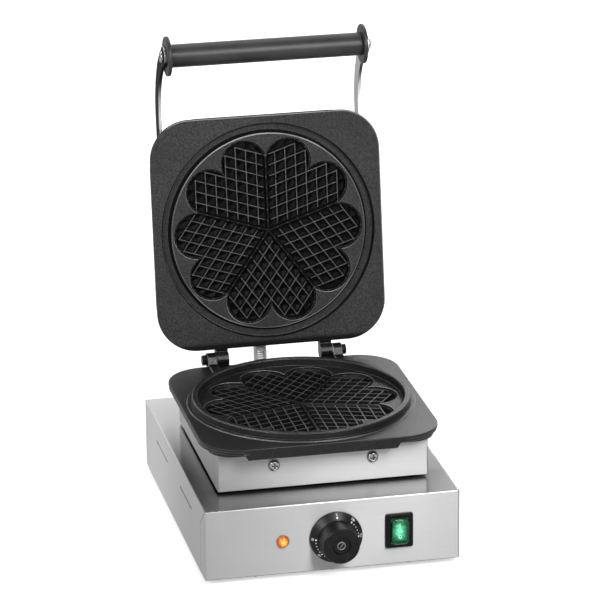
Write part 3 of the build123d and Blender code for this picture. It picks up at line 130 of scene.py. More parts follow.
class NodeKit:
    """Short calls that add nodes to a tree."""

    def __init__(self, tree):
        self.tree = tree

    def wire(self, socket, value):
        if isinstance(value, bpy.types.NodeSocket):
            self.tree.links.new(value, socket)
        else:
            socket.default_value = value

    def node(self, kind, inputs, output=0, **settings):
        made = self.tree.nodes.new(kind)
        for key, value in settings.items():
            setattr(made, key, value)
        for key, value in inputs.items():
            self.wire(made.inputs[key], value)
        return made.outputs[output]

    def coords(self, output="Object"):
        return self.node("ShaderNodeTexCoord", {}, output)

    def math(self, operation, a, b=0.0, c=0.0):
        return self.node("ShaderNodeMath", {0: a, 1: b, 2: c}, operation=operation)

    def vector(self, operation, a, b=(0.0, 0.0, 0.0), output=0):
        return self.node("ShaderNodeVectorMath", {0: a, 1: b}, output, operation=operation)

    def product(self, first, *others):
        for other in others:
            first = self.math("MULTIPLY", first, other)
        return first

    def invert(self, value):
        return self.math("SUBTRACT", 1.0, value)

    def dot(self, a, b):
        return self.vector("DOT_PRODUCT", a, b, "Value")

    def split(self, vector):
        made = self.tree.nodes.new("ShaderNodeSeparateXYZ")
        self.wire(made.inputs[0], vector)
        return made.outputs[0], made.outputs[1], made.outputs[2]

    def noise(self, vector, scale, detail=3.0, roughness=0.55):
        inputs = {"Vector": vector, "Scale": scale, "Detail": detail, "Roughness": roughness}
        return self.node("ShaderNodeTexNoise", inputs, "Fac")

    def span(self, value, low, high, to_low=0.0, to_high=1.0):
        inputs = {"Value": value, "From Min": low, "From Max": high, "To Min": to_low, "To Max": to_high}
        return self.node("ShaderNodeMapRange", inputs, interpolation_type="SMOOTHSTEP")

    def band(self, value, rise, fall):
        # 1 between two slopes, each given as its 0 end and its 1 end
        return self.product(self.span(value, *rise), self.span(value, *fall))

    def blend(self, share, a, b):
        inputs = {"Factor": share, 6: a, 7: b}
        return self.node("ShaderNodeMix", inputs, 2, data_type="RGBA")

    def mix(self, share, a, b):
        return self.node("ShaderNodeMix", {"Factor": share, 2: a, 3: b}, data_type="FLOAT")

    def bump(self, height, strength, distance, normal=None):
        inputs = {"Height": height, "Strength": strength, "Distance": distance}
        if normal is not None:
            inputs["Normal"] = normal
        return self.node("ShaderNodeBump", inputs)

    def rounded(self, radius):
        return self.node("ShaderNodeBevel", {"Radius": radius}, samples=6)

    def edges(self, radius, low=0.02, high=0.2):
        # 1 along edges, 0 on flat ground
        true_normal = self.node("ShaderNodeNewGeometry", {}, "Normal")
        along = self.dot(self.rounded(radius), true_normal)
        return self.span(self.invert(along), low, high)

    def crevice(self, distance, low=0.35, high=0.85):
        # 0 deep in seams and recesses, 1 on open ground
        openness = self.node("ShaderNodeAmbientOcclusion", {"Distance": distance}, "AO", samples=6)
        return self.span(openness, low, high)

    def background_share(self):
        # 1 for the rays that see the stage, 0 for those that only light the object
        path = self.tree.nodes.new("ShaderNodeLightPath")
        seen = self.math("MAXIMUM", path.outputs["Is Camera Ray"], path.outputs["Is Glossy Ray"])
        return self.math("MAXIMUM", seen, path.outputs["Is Transmission Ray"])


class Surface(NodeKit):
    """A node material with its Principled shader."""

    def __init__(self, name, **fixed):
        self.material = bpy.data.materials.new(name)
        self.material.use_nodes = True
        super().__init__(self.material.node_tree)
        self.shader = self.tree.nodes["Principled BSDF"]
        for socket, value in fixed.items():
            self.set(socket.replace("_", " "), value)

    def set(self, socket, value):
        self.wire(self.shader.inputs[socket], value)


def grey(value, tint=0.0):
    return (value, value, value * (1.0 + tint), 1.0)


def put_on(material, *names):
    for name in names:
        data = nodes[name].data
        data.materials.clear()
        data.materials.append(material)


# Brushed and plated metal
def brushed_steel(name, shade, roughness, side_painted_shade=None, top_painted_shade=None, rim=1.0):
    # fine scratches along X, and along Y on the side walls; the gloss stretches across them
    s = Surface(name, Metallic=1.0, Anisotropic=0.95, Specular_Tint=grey(rim))
    place = s.coords()
    normal_x, _, normal_z = s.split(s.coords("Normal"))
    on_side = s.math("GREATER_THAN", s.math("ABSOLUTE", normal_x), 0.7)
    on_top = s.math("GREATER_THAN", s.math("ABSOLUTE", normal_z), 0.7)
    along_x = s.vector("MULTIPLY", place, (9.0, 2600.0, 2600.0))
    along_y = s.vector("MULTIPLY", place, (2600.0, 9.0, 2600.0))
    fine = s.mix(on_side, s.noise(along_x, 1.0, 2.0), s.noise(along_y, 1.0, 2.0))
    handled = s.noise(place, 11.0, 4.0, 0.6)
    ground = s.blend(s.span(fine, 0.25, 0.75), grey(shade * 0.97), grey(shade * 1.03, 0.006))
    if side_painted_shade is not None:
        # painted shade: faces turned to -X take a dark tone
        ground = s.blend(s.math("LESS_THAN", normal_x, -0.7), ground, grey(side_painted_shade))
    if top_painted_shade is not None:
        # painted shade and light on the top faces: darker than the rest, lighter towards the rear, and
        # darker still in front of the walls by ambient occlusion, less so at the right end
        aside, depth, _ = s.split(place)
        front_strip = s.span(depth, -0.10, -0.125)
        wall_shade_mask = s.math("MAXIMUM", s.crevice(0.045, 0.35, 0.9), s.invert(front_strip))
        wall_shade_mask = s.math("MAXIMUM", wall_shade_mask, s.span(aside, 0.092, 0.112, 0.0, 0.7))
        top_painted_light_and_shade = s.blend(s.span(depth, -0.11, 0.10), grey(top_painted_shade), grey(top_painted_shade * 2.6))
        top_painted_light_and_shade = s.blend(wall_shade_mask, grey(top_painted_shade * 0.3), top_painted_light_and_shade)
        ground = s.blend(on_top, ground, top_painted_light_and_shade)
        # painted light: the side walls lighter towards the rear
        lift = s.product(on_side, s.span(depth, -0.10, 0.12))
        ground = s.blend(lift, ground, grey(min(shade * 1.5, 1.0)))
    # painted shade: darker along the rounded edges that face the ground
    ground = s.blend(s.band(normal_z, (-0.15, -0.5), (-0.99, -0.93)), ground, grey(0.05))
    # painted shade: ambient occlusion darkens the seams and recesses; the mask is 1 on open ground
    seam_shade_mask = s.product(s.crevice(0.0016), s.crevice(0.005, 0.1, 0.6))
    s.set("Base Color", s.blend(seam_shade_mask, grey(shade * 0.12), ground))
    rough = s.math("ADD", s.span(fine, 0.2, 0.8, roughness - 0.01, roughness + 0.01),
                   s.span(handled, 0.35, 0.75, -0.01, 0.02))
    s.set("Roughness", s.product(rough, s.span(on_top, 0.0, 1.0, 1.0, 0.7)))
    s.set("Normal", s.bump(fine, 0.008, 0.0002, s.rounded(0.0007)))
    s.set("Tangent", s.node("ShaderNodeCombineXYZ", {"Y": on_top, "Z": s.invert(on_top)}))
    return s.material


def plated_steel(name, shade, roughness):
    s = Surface(name, Metallic=1.0)
    place = s.coords()
    mottled = s.noise(place, 900.0, 3.0)
    worn = s.edges(0.0004)
    ground = s.blend(s.span(mottled, 0.3, 0.7), grey(shade * 0.85), grey(shade, 0.01))
    # painted shade: near black in recesses found by ambient occlusion
    s.set("Base Color", s.blend(s.crevice(0.0022, 0.45, 0.95), grey(shade * 0.05), ground))
    s.set("Roughness", s.mix(worn, s.span(mottled, 0.3, 0.7, roughness + 0.08, roughness), roughness * 0.7))
    s.set("Normal", s.bump(mottled, 0.08, 0.0002, s.rounded(0.0003)))
    return s.material


# Seasoned cast iron
def distance_to_grid(s, x, y, reach):
    # millimetres to the nearest ridge line of the grid that each heart repeats
    sector = 2 * math.pi / HEARTS
    turned = s.math("FLOORED_MODULO", s.math("ADD", s.math("ARCTAN2", x, y), sector / 2), sector)
    turn = s.math("SUBTRACT", turned, sector / 2)
    near = []
    for sign in (1.0, -1.0):
        aside = s.math("SINE", s.math("ADD", s.product(turn, sign), sector / 2))
        steps = s.math("DIVIDE", s.math("SUBTRACT", s.product(reach, aside), GRID_FIRST), GRID_PITCH)
        near.append(s.product(s.math("PINGPONG", steps, 0.5), GRID_PITCH))
    return s.math("MINIMUM", near[0], near[1])


def hinge_share(s, place):
    # 1 on the lugs and knuckles, 0 away from them
    _, y, z = s.split(s.vector("SUBTRACT", place, tuple(HINGE)))
    away = s.math("SQRT", s.math("ADD", s.product(y, y), s.product(z, z)))
    return s.span(away, *HINGE_ZONE)


def relief_cast(name, centre, out, back, roughness, shade, gloss, edge_shade, lit, groove=False):
    # dark pits, thin crests on the grid lightened by wear and a painted highlight, edges lightened by wear
    # with a painted highlight towards lit, and painted shade in closed recesses; out and back are unit
    # vectors
    s = Surface(name, Metallic=0.0, Specular_IOR_Level=gloss)
    place = s.coords()
    offset = s.vector("MULTIPLY", s.vector("SUBTRACT", place, tuple(centre)), (1000.0, 1000.0, 1000.0))
    x = s.dot(offset, (1.0, 0.0, 0.0))
    y = s.dot(offset, tuple(back))
    depth = s.product(s.dot(offset, tuple(out)), -1.0)
    reach = s.math("SQRT", s.math("ADD", s.product(x, x), s.product(y, y)))
    nearest = distance_to_grid(s, x, y, reach)
    inside = s.math("LESS_THAN", reach, RIM_IN)
    # the crests are lightened by wear and as a painted highlight; ambient occlusion dims them near the
    # walls as painted shade
    crest_wear_highlight = s.product(s.band(depth, *CREST_TOP), inside, s.span(nearest, *CREST_HALF),
                      s.crevice(0.0028, 0.60, 0.90))
    low = s.product(s.span(depth, *LOW_GROUND), inside)
    pyramid = s.product(nearest, s.span(depth, *PIT_BOTTOM), inside, -0.75)
    grain = s.noise(place, 560.0, 4.0, 0.7)
    pebble = s.noise(place, 260.0, 3.0, 0.5)
    cloud = s.noise(place, 22.0, 4.0, 0.6)
    height = s.math("ADD", s.product(grain, 0.6), s.product(pebble, 0.4))
    cast = s.bump(height, 0.8, 0.0005, s.rounded(0.0007))
    s.set("Normal", s.bump(pyramid, 1.0, 0.001, cast))

    # painted shade: closed_in is 0 where ambient occlusion finds closed recesses, which are painted near
    # black below; the groove's floor is spared
    closed_in = s.crevice(0.0040, 0.45, 0.9)
    open_ground = s.crevice(0.0030, 0.35, 0.8)
    if groove:
        floor = s.band(reach, *GROOVE_FLOOR)
        closed_in = s.math("MAXIMUM", closed_in, floor)
        open_ground = s.math("MAXIMUM", open_ground, floor)
    at_hinge = hinge_share(s, place)
    color = s.blend(s.span(cloud, 0.3, 0.7), grey(shade * 0.8), grey(shade * 1.2))
    color = s.blend(s.span(grain, 0.35, 0.65), grey(shade * 0.35), color)
    color = s.blend(at_hinge, color, grey(shade * 0.12))
    # the edges are lightened by wear, with a painted highlight on the side facing lit; ambient occlusion
    # takes them off in recesses as painted shade
    edge_wear_highlight = s.product(s.edges(0.0013, 0.03, 0.14), s.invert(low), open_ground,
                     s.span(cloud, 0.35, 0.6, 0.35, 1.0), s.span(grain, 0.2, 0.6, 0.5, 1.0))
    lit_side = s.span(s.dot(s.rounded(0.0013), lit), 0.45, 0.8)
    color = s.blend(edge_wear_highlight, color, s.blend(lit_side, grey(edge_shade), grey(0.6)))
    color = s.blend(low, color, grey(0.002))
    color = s.blend(s.product(crest_wear_highlight, s.span(pebble, 0.25, 0.65, 0.35, 1.0)), color, grey(0.10))
    rough = s.mix(low, s.span(grain, 0.2, 0.8, roughness, roughness + 0.16), 0.5)
    rough = s.mix(at_hinge, rough, 0.24)
    rough = s.mix(open_ground, 0.95, rough)
    if groove:
        color, rough = groove_shade_and_highlights(s, color, rough, reach, y, cloud, at_hinge)
    # painted shade: near black in the closed recesses
    s.set("Base Color", s.blend(closed_in, grey(0.002), color))
    s.set("Roughness", rough)
    return s.material


def groove_shade_and_highlights(s, color, rough, reach, y, cloud, at_hinge):
    # painted shade in the corners of the upper plate's groove and a painted highlight on its lip, and round
    # the plate painted shade on the rim's top with a painted highlight along its edge
    outer = s.span(reach, *FLANGE)
    _, _, facing_up = s.split(s.coords("Normal"))
    rim_top_shade = s.product(outer, s.span(facing_up, 0.66, 0.80))
    lit_rim = s.span(s.dot(s.rounded(0.0013), RIM_LIT), 0.830, 0.865)
    rim_highlight = s.product(outer, lit_rim, s.invert(rim_top_shade), s.span(at_hinge, 0.0, 1.0, 0.85, 0.12))
    # painted shade: the groove's inner foot and outer wall go near black
    corners = s.math("MAXIMUM", s.band(reach, *GROOVE_FOOT), s.band(reach, *GROOVE_WALL))
    lip_highlight = s.product(s.band(reach, *GROOVE_LIP), s.span(cloud, 0.3, 0.6, 0.4, 1.0))
    lip_highlight_tone = s.blend(s.span(s.math("ABSOLUTE", y), 30.0, 95.0), grey(0.11), grey(0.36))
    color = s.blend(corners, color, grey(0.002))
    color = s.blend(lip_highlight, color, lip_highlight_tone)
    color = s.blend(rim_top_shade, color, grey(0.006))
    color = s.blend(rim_highlight, color, grey(0.32))
    return color, s.mix(s.math("MAXIMUM", rim_top_shade, corners), rough, 1.0)


# Plastics and the small materials
def moulded(name, color, roughness, texture=2500.0, strength=0.1, gloss=0.3):
    s = Surface(name, Specular_IOR_Level=gloss)
    place = s.coords()
    grain = s.noise(place, texture, 2.0)
    cloud = s.noise(place, 40.0, 3.0)
    lighter = tuple(min(c * 1.5 + 0.004, 1.0) for c in color[:3]) + (1.0,)
    base = s.blend(s.span(cloud, 0.3, 0.7), color, lighter)
    s.set("Base Color", s.blend(s.edges(0.0005), base, tuple(c * 2.0 + 0.02 for c in color[:3]) + (1.0,)))
    s.set("Roughness", s.span(grain, 0.2, 0.8, roughness - 0.05, roughness + 0.06))
    s.set("Normal", s.bump(grain, strength, 0.0002, s.rounded(0.0005)))
    return s.material


def turned_plastic(name):
    # the knob: fine lathe rings round its axis
    s = Surface(name, Specular_IOR_Level=0.28)
    place = s.coords()
    flat = s.vector("MULTIPLY", s.vector("SUBTRACT", place, tuple(KNOB)), (1.0, 0.0, 1.0))
    reach = s.vector("LENGTH", flat, output="Value")
    rings = s.math("SINE", s.product(reach, 2 * math.pi / 0.0011))
    grain = s.noise(place, 2600.0, 2.0)
    height = s.math("ADD", s.product(rings, 0.3), grain)
    dust = s.noise(place, 160.0, 4.0)
    s.set("Base Color", s.blend(s.span(dust, 0.45, 0.75), grey(0.004), grey(0.009)))
    s.set("Roughness", s.span(grain, 0.2, 0.8, 0.30, 0.42))
    s.set("Normal", s.bump(height, 0.18, 0.00012, s.rounded(0.0006)))
    return s.material


def lit_plastic(name, color, glow, strength, centre, half, facets=0.0):
    # brighter towards the middle, where the lamp sits behind it, with faint facets round it
    s = Surface(name, Roughness=0.22)
    place = s.coords()
    offset = s.vector("DIVIDE", s.vector("SUBTRACT", place, tuple(centre)), (half[0], 1.0, half[1]))
    flat = s.vector("MULTIPLY", offset, (1.0, 0.0, 1.0))
    reach = s.vector("LENGTH", flat, output="Value")
    cloud = s.noise(place, 420.0, 3.0)
    near = s.span(s.math("ADD", reach, s.span(cloud, 0.3, 0.7, -0.12, 0.12)), 1.0, 0.0)
    if facets:
        aside, _, rise = s.split(offset)
        wave = s.math("SINE", s.product(s.math("ARCTAN2", rise, aside), facets))
        near = s.product(near, s.span(wave, -0.2, -0.9, 1.0, 0.55))
    s.set("Base Color", s.blend(near, color, glow))
    s.set("Emission Color", s.blend(near, color, glow))
    s.set("Emission Strength", s.product(near, strength))
    s.set("Normal", s.bump(cloud, 0.05, 0.0003, s.rounded(0.0008)))
    return s.material


def switch_housing(name, half_x, half_z):
    # black, with the lamp's green light caught inside the window
    s = Surface(name, Specular_IOR_Level=0.15)
    place = s.coords()
    offset_x, _, offset_z = s.split(s.vector("SUBTRACT", place, tuple(ROCKER)))
    in_x = s.math("LESS_THAN", s.math("ABSOLUTE", offset_x), half_x)
    in_z = s.math("LESS_THAN", s.math("ABSOLUTE", offset_z), half_z)
    inside = s.product(in_x, in_z)
    grain = s.noise(place, 2500.0, 2.0)
    plain = s.blend(s.span(grain, 0.3, 0.7), grey(0.003), grey(0.006))
    worn = s.blend(s.product(s.edges(0.0006), s.invert(inside)), plain, grey(0.05))
    s.set("Base Color", s.blend(inside, worn, (0.0, 0.05, 0.02, 1.0)))
    s.set("Emission Color", (0.0, 0.35, 0.16, 1.0))
    s.set("Emission Strength", s.product(inside, s.span(grain, 0.2, 0.8, 0.08, 0.14)))
    s.set("Roughness", s.span(grain, 0.2, 0.8, 0.36, 0.46))
    s.set("Normal", s.bump(grain, 0.08, 0.0002, s.rounded(0.0005)))
    return s.material


def clear_cover(name):
    s = Surface(name, Transmission_Weight=1.0, IOR=1.25)
    place = s.coords()
    smear = s.noise(place, 260.0, 3.0)
    s.set("Base Color", s.blend(s.span(smear, 0.3, 0.7), (0.62, 0.93, 0.80, 1.0), (0.78, 0.97, 0.88, 1.0)))
    s.set("Roughness", s.span(smear, 0.3, 0.7, 0.04, 0.10))
    s.set("Normal", s.bump(smear, 0.06, 0.0003))
    return s.material


def fibre_blanket(name, dark, light):
    s = Surface(name, Roughness=0.9, Sheen_Weight=0.3)
    place = s.coords()
    fibres = s.noise(s.vector("MULTIPLY", place, (300.0, 90.0, 300.0)), 1.0, 6.0, 0.7)
    s.set("Base Color", s.blend(s.span(fibres, 0.3, 0.7), dark, light))
    s.set("Normal", s.bump(fibres, 0.5, 0.001))
    return s.material


def printed_white(name, glow=0.0):
    s = Surface(name, Roughness=0.5, Emission_Color=grey(1.0), Emission_Strength=glow)
    place = s.coords()
    worn = s.noise(place, 1800.0, 3.0)
    s.set("Base Color", s.blend(s.span(worn, 0.25, 0.6), grey(0.55), grey(0.85)))
    s.set("Normal", s.bump(worn, 0.1, 0.0001))
    return s.material


def dress_nodes():
    # the base's steel carries painted shade and light on its top faces and side walls
    steel = brushed_steel("stainless_brushed", 0.52, 0.36, top_painted_shade=0.25)
    put_on(steel, "base_housing", "front_panel", "rear_panel", "bottom_plate")
    # a darker copy of the same steel for the pedestal and the cover, as painted shade
    shaded_upper_steel = brushed_steel("stainless_upper_shaded", 0.41, 0.36)
    put_on(shaded_upper_steel, "pedestal_housing", "pedestal_front", "upper_cover")
    put_on(brushed_steel("stainless_arm_right", 0.5, 0.36), "handle_arm_right")
    # the left arm: a copy of the steel with painted shade on its outer face and a low specular tint that
    # darkens its grazing reflection as painted shade
    put_on(brushed_steel("stainless_arm_left_shaded", 0.5, 0.36, 0.08, rim=0.35), "handle_arm_left")
    open_back = Matrix.Rotation(LID_OPEN, 3, "X")
    # the lower plate's cast iron takes a darker base than the upper plate's, as painted shade
    put_on(relief_cast("cast_iron_lower", (0.0, PLATE_Y, LOWER_FACE_Z), (0.0, 0.0, 1.0), (0.0, 1.0, 0.0),
                       roughness=0.30, shade=0.012, gloss=0.35, edge_shade=0.22, lit=LOWER_LIT),
           "lower_plate")
    put_on(relief_cast("cast_iron_upper", UPPER_CENTRE, open_back @ Vector((0, 0, -1)),
                       open_back @ Vector((0, 1, 0)), roughness=0.40, shade=0.040, gloss=0.22,
                       edge_shade=0.12, lit=UPPER_LIT, groove=True), "upper_plate")
    zinc = plated_steel("zinc_plated", 0.55, 0.2)
    put_on(zinc, "bottom_screws", "foot_screws", "foot_nuts", "thermostat_screws", "pedestal_screws",
           "cover_screws", "arm_screws", "arm_nuts", "handle_screws", "pilot_lamp_nut",
           "lower_clamp_stud", "lower_clamp_nut", "upper_clamp_stud", "upper_clamp_nut",
           "conduit_gland_base", "conduit_nut_base", "conduit_gland_lid", "conduit_nut_lid",
           "cable_gland_nut", "handle_rod", "thermostat_shaft", "conduit")
    put_on(plated_steel("blackened_steel", 0.05, 0.28), "hinge_bolts", "hinge_washers")
    put_on(plated_steel("heater_sheath", 0.20, 0.42), "lower_heater", "upper_heater", "lower_clamp_plate",
           "upper_clamp_plate")
    put_on(plated_steel("brass_plain", 0.5, 0.3), "thermostat_bulb")
    put_on(moulded("black_housing", grey(0.004), 0.42, gloss=0.15), "thermostat_body",
           "pilot_lamp_body", "cable_gland")
    put_on(switch_housing("switch_black", 0.0088, 0.0137), "switch_body", "switch_frame")
    put_on(moulded("grip_black", grey(0.014), 0.42, 3200.0, 0.04, gloss=0.5), "handle_grip", "handle_discs")
    put_on(moulded("foot_rubber", grey(0.022), 0.75, 1500.0, 0.3), "feet")
    put_on(moulded("fibre_board", grey(0.02), 0.8, 900.0, 0.4), "pedestal_spacer")
    put_on(moulded("terminal_ceramic", (0.78, 0.76, 0.7, 1.0), 0.6, 1200.0, 0.2), "terminal_block")
    put_on(fibre_blanket("insulation_blanket", grey(0.62), grey(0.86)), "lower_insulation",
           "upper_insulation")
    put_on(turned_plastic("knob_black"), "control_knob", "knob_button")
    amber = lit_plastic("lamp_amber", (0.42, 0.09, 0.005, 1.0), (1.0, 0.47, 0.09, 1.0), 0.75, LAMP,
                        (0.0062, 0.0062), 6.0)
    put_on(amber, "pilot_lens")
    green = lit_plastic("rocker_green", (0.0, 0.16, 0.06, 1.0), (0.28, 0.74, 0.53, 1.0), 0.75, ROCKER,
                        (0.0085, 0.0125))
    put_on(green, "rocker")
    put_on(clear_cover("switch_cap_clear"), "switch_cap")


# Pieces made here
def add_piece(name, vertices, faces, material, smooth=True):
    mesh = bpy.data.meshes.new(name)
    mesh.from_pydata([tuple(v) for v in vertices], [], faces)
    mesh.validate()
    mesh.update()
    for polygon in mesh.polygons:
        polygon.use_smooth = smooth
    mesh.materials.append(material)
    piece = bpy.data.objects.new(name, mesh)
    bpy.context.scene.collection.objects.link(piece)
    return piece


def rings_to_faces(count, around):
    # faces between rings of points, the last ring joined to the first
    faces = []
    for row in range(count):
        for step in range(around):
            a = row * around + step
            b = row * around + (step + 1) % around
            c = ((row + 1) % count) * around + (step + 1) % around
            d = ((row + 1) % count) * around + step
            faces.append((a, b, c, d))
    return faces


def hose_frame(distance):
    # centre and direction of the conduit at a distance from its lower end
    arc = HOSE_BEND_R * HOSE_BEND
    bend = min(max(distance - HOSE_STRAIGHT, 0.0), arc) / HOSE_BEND_R
    first = min(distance, HOSE_STRAIGHT)
    past = max(distance - HOSE_STRAIGHT - arc, 0.0)
    up = first + HOSE_BEND_R * math.sin(bend) + past * math.cos(bend)
    back = HOSE_BEND_R * (1.0 - math.cos(bend)) + past * math.sin(bend)
    return HOSE_START + Vector((0.0, back, up)), Vector((0.0, math.sin(bend), math.cos(bend)))


def make_conduit():
    # annular ribs outside and a plain bore
    length = 2 * HOSE_STRAIGHT + HOSE_BEND_R * HOSE_BEND
    rows = HOSE_RIBS * ROWS_PER_RIB
    stations = []
    for row in range(rows + 1):
        swell = 0.5 - 0.5 * math.cos(2 * math.pi * row / ROWS_PER_RIB)
        stations.append((length * row / rows, HOSE_R - HOSE_VALLEY * (1.0 - swell ** 0.6)))
    stations += [(length * (BORE_ROWS - row) / BORE_ROWS, HOSE_BORE_R) for row in range(BORE_ROWS + 1)]
    around = 48
    vertices = []
    for distance, radius in stations:
        centre, along = hose_frame(distance)
        aside = Vector((1.0, 0.0, 0.0))
        other = along.cross(aside)
        for step in range(around):
            angle = 2 * math.pi * step / around
            vertices.append(centre + (aside * math.cos(angle) + other * math.sin(angle)) * radius)
    faces = rings_to_faces(len(stations), around)
    piece = add_piece("conduit_ribs", vertices, faces, plated_steel("conduit_zinc", 0.60, 0.5))
    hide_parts("conduit")
    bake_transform(piece)


def on_skirt(radius, clockwise, lift=0.00006):
    # a point on the knob's cone; the angle is seen from the front, clockwise from the top
    share = (SKIRT_R - radius) / (SKIRT_R - SKIRT_TOP_R)
    out = SKIRT_EDGE_Y + share * (SKIRT_TOP_Y - SKIRT_EDGE_Y) + lift
    return KNOB + Vector((radius * math.sin(clockwise), -out, radius * math.cos(clockwise)))


def text_mesh(word, height):
    # flat outline of a word, centred, as vertices and faces
    curve = bpy.data.curves.new("word", "FONT")
    curve.body = word
    curve.size = height
    curve.align_x = "CENTER"
    curve.align_y = "CENTER"
    curve.resolution_u = 3
    holder = bpy.data.objects.new("word", curve)
    bpy.context.scene.collection.objects.link(holder)
    mesh = bpy.data.meshes.new_from_object(holder)
    vertices = [v.co.copy() for v in mesh.vertices]
    faces = [tuple(polygon.vertices) for polygon in mesh.polygons]
    bpy.data.objects.remove(holder)
    bpy.data.curves.remove(curve)
    bpy.data.meshes.remove(mesh)
    return vertices, faces


def disc_mesh(radius, sides=14):
    corners = [Vector((math.sin(2 * math.pi * k / sides), math.cos(2 * math.pi * k / sides), 0)) * radius
               for k in range(sides)]
    return corners, [tuple(reversed(range(sides)))]


def ring_mesh(radius, width, stretch=1.0, sides=32):
    vertices = []
    for k in range(sides):
        angle = 2 * math.pi * k / sides
        way = Vector((math.sin(angle), math.cos(angle) * stretch, 0.0))
        vertices += [way * (radius - width / 2), way * (radius + width / 2)]
    faces = []
    for k in range(sides):
        n = (k + 1) % sides
        faces.append((2 * k, 2 * n, 2 * n + 1, 2 * k + 1))
    return vertices, faces


def make_knob_marks():
    white = printed_white("dial_print")
    vertices, faces = [], []

    def lay(shape, radius, turn):
        start = len(vertices)
        for v in shape[0]:
            vertices.append(on_skirt(radius + v.y, turn + v.x / radius))
        for face in shape[1]:
            faces.append(tuple(start + k for k in face))

    lay(disc_mesh(0.00085), DOT_R + 0.0006, 0.0)
    lay(text_mesh("0", 0.0030), NUMERAL_R + 0.0004, 0.0)
    for step in range(SCALE_DOTS):
        turn = -math.radians(SCALE_START + step * SCALE_STEP)
        whole = step % 5 == 0
        lay(disc_mesh(0.00080 if whole else 0.00052), DOT_R, turn)
        if whole:
            lay(text_mesh(str(50 + 10 * step), 0.0030), NUMERAL_R, turn)
    piece = add_piece("knob_scale", vertices, faces, white, smooth=False)
    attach(piece, "knob")


def make_knob_ring():
    vertices = []
    around, across = 48, 12
    for k in range(around):
        angle = 2 * math.pi * k / around
        way = Vector((math.sin(angle), 0.0, math.cos(angle)))
        for m in range(across):
            turn = 2 * math.pi * m / across
            reach = RING_R + RING_HALF_WIDTH * math.cos(turn)
            out = RING_HALF_HEIGHT * math.sin(turn)
            vertices.append(RING_CENTRE + way * reach + Vector((0.0, -out, 0.0)))
    faces = [tuple(reversed(face)) for face in rings_to_faces(around, across)]
    bar = len(vertices)
    along = Vector((math.sin(SLOT_LEAN), 0.0, math.cos(SLOT_LEAN))) * SLOT_HALF_LENGTH
    aside = Vector((math.cos(SLOT_LEAN), 0.0, -math.sin(SLOT_LEAN))) * SLOT_HALF_WIDTH
    for out in (0.0, SLOT_HEIGHT):
        for a, b in ((-1, -1), (1, -1), (1, 1), (-1, 1)):
            vertices.append(RING_CENTRE + along * a + aside * b + Vector((0.0, -out, 0.0)))
    for face in ((0, 1, 2, 3), (7, 6, 5, 4), (0, 4, 5, 1), (1, 5, 6, 2), (2, 6, 7, 3), (3, 7, 4, 0)):
        faces.append(tuple(bar + k for k in face))
    piece = add_piece("knob_ring", vertices, faces, plated_steel("knob_ring_chrome", 0.40, 0.3))
    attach(piece, "knob")


def on_rocker(x, z, lift=0.00008):
    # the point of the rocker's face straight behind a place on the panel
    start = Vector((ROCKER.x + x, FRONT_Y - 0.02, ROCKER.z + z))
    _, place, normal, _ = nodes["rocker"].ray_cast(start, Vector((0.0, 1.0, 0.0)))
    return place + normal * lift


def make_rocker_marks():
    vertices, faces = [], []
    circle = ring_mesh(0.00125, 0.00042, 1.15)
    for v in circle[0]:
        vertices.append(on_rocker(v.x + MARK_X, v.y + CIRCLE_Z))
    faces += [tuple(reversed(face)) for face in circle[1]]
    start = len(vertices)
    for x, z in ((-1, -1), (1, -1), (1, 1), (-1, 1)):
        vertices.append(on_rocker(MARK_X + x * 0.00022, BAR_Z + z * 0.0016))
    faces.append((start, start + 1, start + 2, start + 3))
    piece = add_piece("rocker_marks", vertices, faces, printed_white("rocker_print", 0.8), smooth=False)
    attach(piece, "switch_rocker")


# Stage, lights and camera
def make_floor():
    mesh = bpy.data.meshes.new("floor")
    half = 6.0
    corners = [(-half, -half, 0), (half, -half, 0), (half, half, 0), (-half, half, 0)]
    mesh.from_pydata(corners, [], [(0, 1, 2, 3)])
    floor = bpy.data.objects.new("floor", mesh)
    bpy.context.scene.collection.objects.link(floor)
    s = Surface("floor_white", Roughness=1.0)
    s.set("Specular IOR Level", 0.0)
    s.set("Emission Color", grey(1.0))
    mirrored = s.node("ShaderNodeLightPath", {}, "Is Glossy Ray")
    s.set("Base Color", s.blend(mirrored, grey(0.78), grey(0.15)))
    s.set("Emission Strength", s.product(s.background_share(), s.mix(mirrored, 0.55, 0.45)))
    mesh.materials.append(s.material)


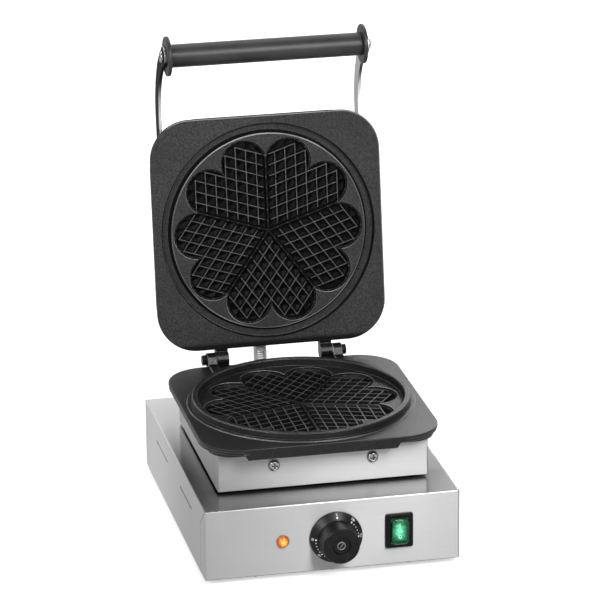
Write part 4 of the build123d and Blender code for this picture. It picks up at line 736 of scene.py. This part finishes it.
def make_world():
    # white to the eye and in reflections, darker towards the front there, and a soft plain light
    world = bpy.data.worlds.new("studio")
    bpy.context.scene.world = world
    world.use_nodes = True
    world.node_tree.nodes.clear()
    w = NodeKit(world.node_tree)
    _, behind, _ = w.split(w.coords("Generated"))
    to_eye = w.node("ShaderNodeLightPath", {}, "Is Camera Ray")
    level = w.math("MAXIMUM", w.span(behind, -0.35, 0.25, 0.3, 1.0), to_eye)
    soft = w.node("ShaderNodeBackground", {"Color": grey(1.0), "Strength": 0.45})
    white = w.node("ShaderNodeBackground", {"Color": grey(1.0), "Strength": level})
    shown = w.node("ShaderNodeMixShader", {0: w.background_share(), 1: soft, 2: white})
    out = world.node_tree.nodes.new("ShaderNodeOutputWorld")
    w.wire(out.inputs[0], shown)


def area_light(name, place, aim, size, power):
    data = bpy.data.lights.new(name, "AREA")
    data.shape = "RECTANGLE"
    data.size, data.size_y = size
    data.energy = power
    light = bpy.data.objects.new(name, data)
    light.location = place
    light.rotation_euler = (Vector(aim) - Vector(place)).to_track_quat("-Z", "Y").to_euler()
    bpy.context.scene.collection.objects.link(light)


def make_lights():
    area_light("front_softbox", (0.37, -1.2, 1.1), (0.05, -0.1, 0.15), (0.27, 0.8), 15.0)
    area_light("left_softbox", (-1.3, -1.5, 1.1), (0.0, -0.1, 0.05), (0.6, 0.6), 22.0)
    area_light("top_softbox", (0.2, 0.9, 2.2), (0.0, 0.0, 0.2), (1.4, 0.7), 4.0)
    area_light("back_softbox", (1.25, 2.0, 1.25), (0.08, 0.0, 0.1), (0.9, 0.7), 22.0)


def make_camera():
    a, e, roll = CAMERA_AZIMUTH, CAMERA_ELEVATION, CAMERA_ROLL
    forward = Vector((math.sin(a) * math.cos(e), math.cos(a) * math.cos(e), -math.sin(e)))
    right = Vector((math.cos(a), -math.sin(a), 0.0))
    up = right.cross(forward)
    side = right * math.cos(roll) + up * math.sin(roll)
    top = up * math.cos(roll) - right * math.sin(roll)
    place = CAMERA_TARGET - forward * CAMERA_DISTANCE
    data = bpy.data.cameras.new("camera")
    data.lens = CAMERA_LENS
    data.sensor_width = 36.0
    camera = bpy.data.objects.new("camera", data)
    turn = Matrix((side, top, -forward)).transposed().to_4x4()
    camera.matrix_world = Matrix.Translation(place) @ turn
    bpy.context.scene.collection.objects.link(camera)
    bpy.context.scene.camera = camera


make_camera()
dress_nodes()
make_conduit()
make_knob_marks()
make_knob_ring()
make_rocker_marks()
make_floor()
make_world()
make_lights()
bpy.context.scene.view_settings.view_transform = "Standard"
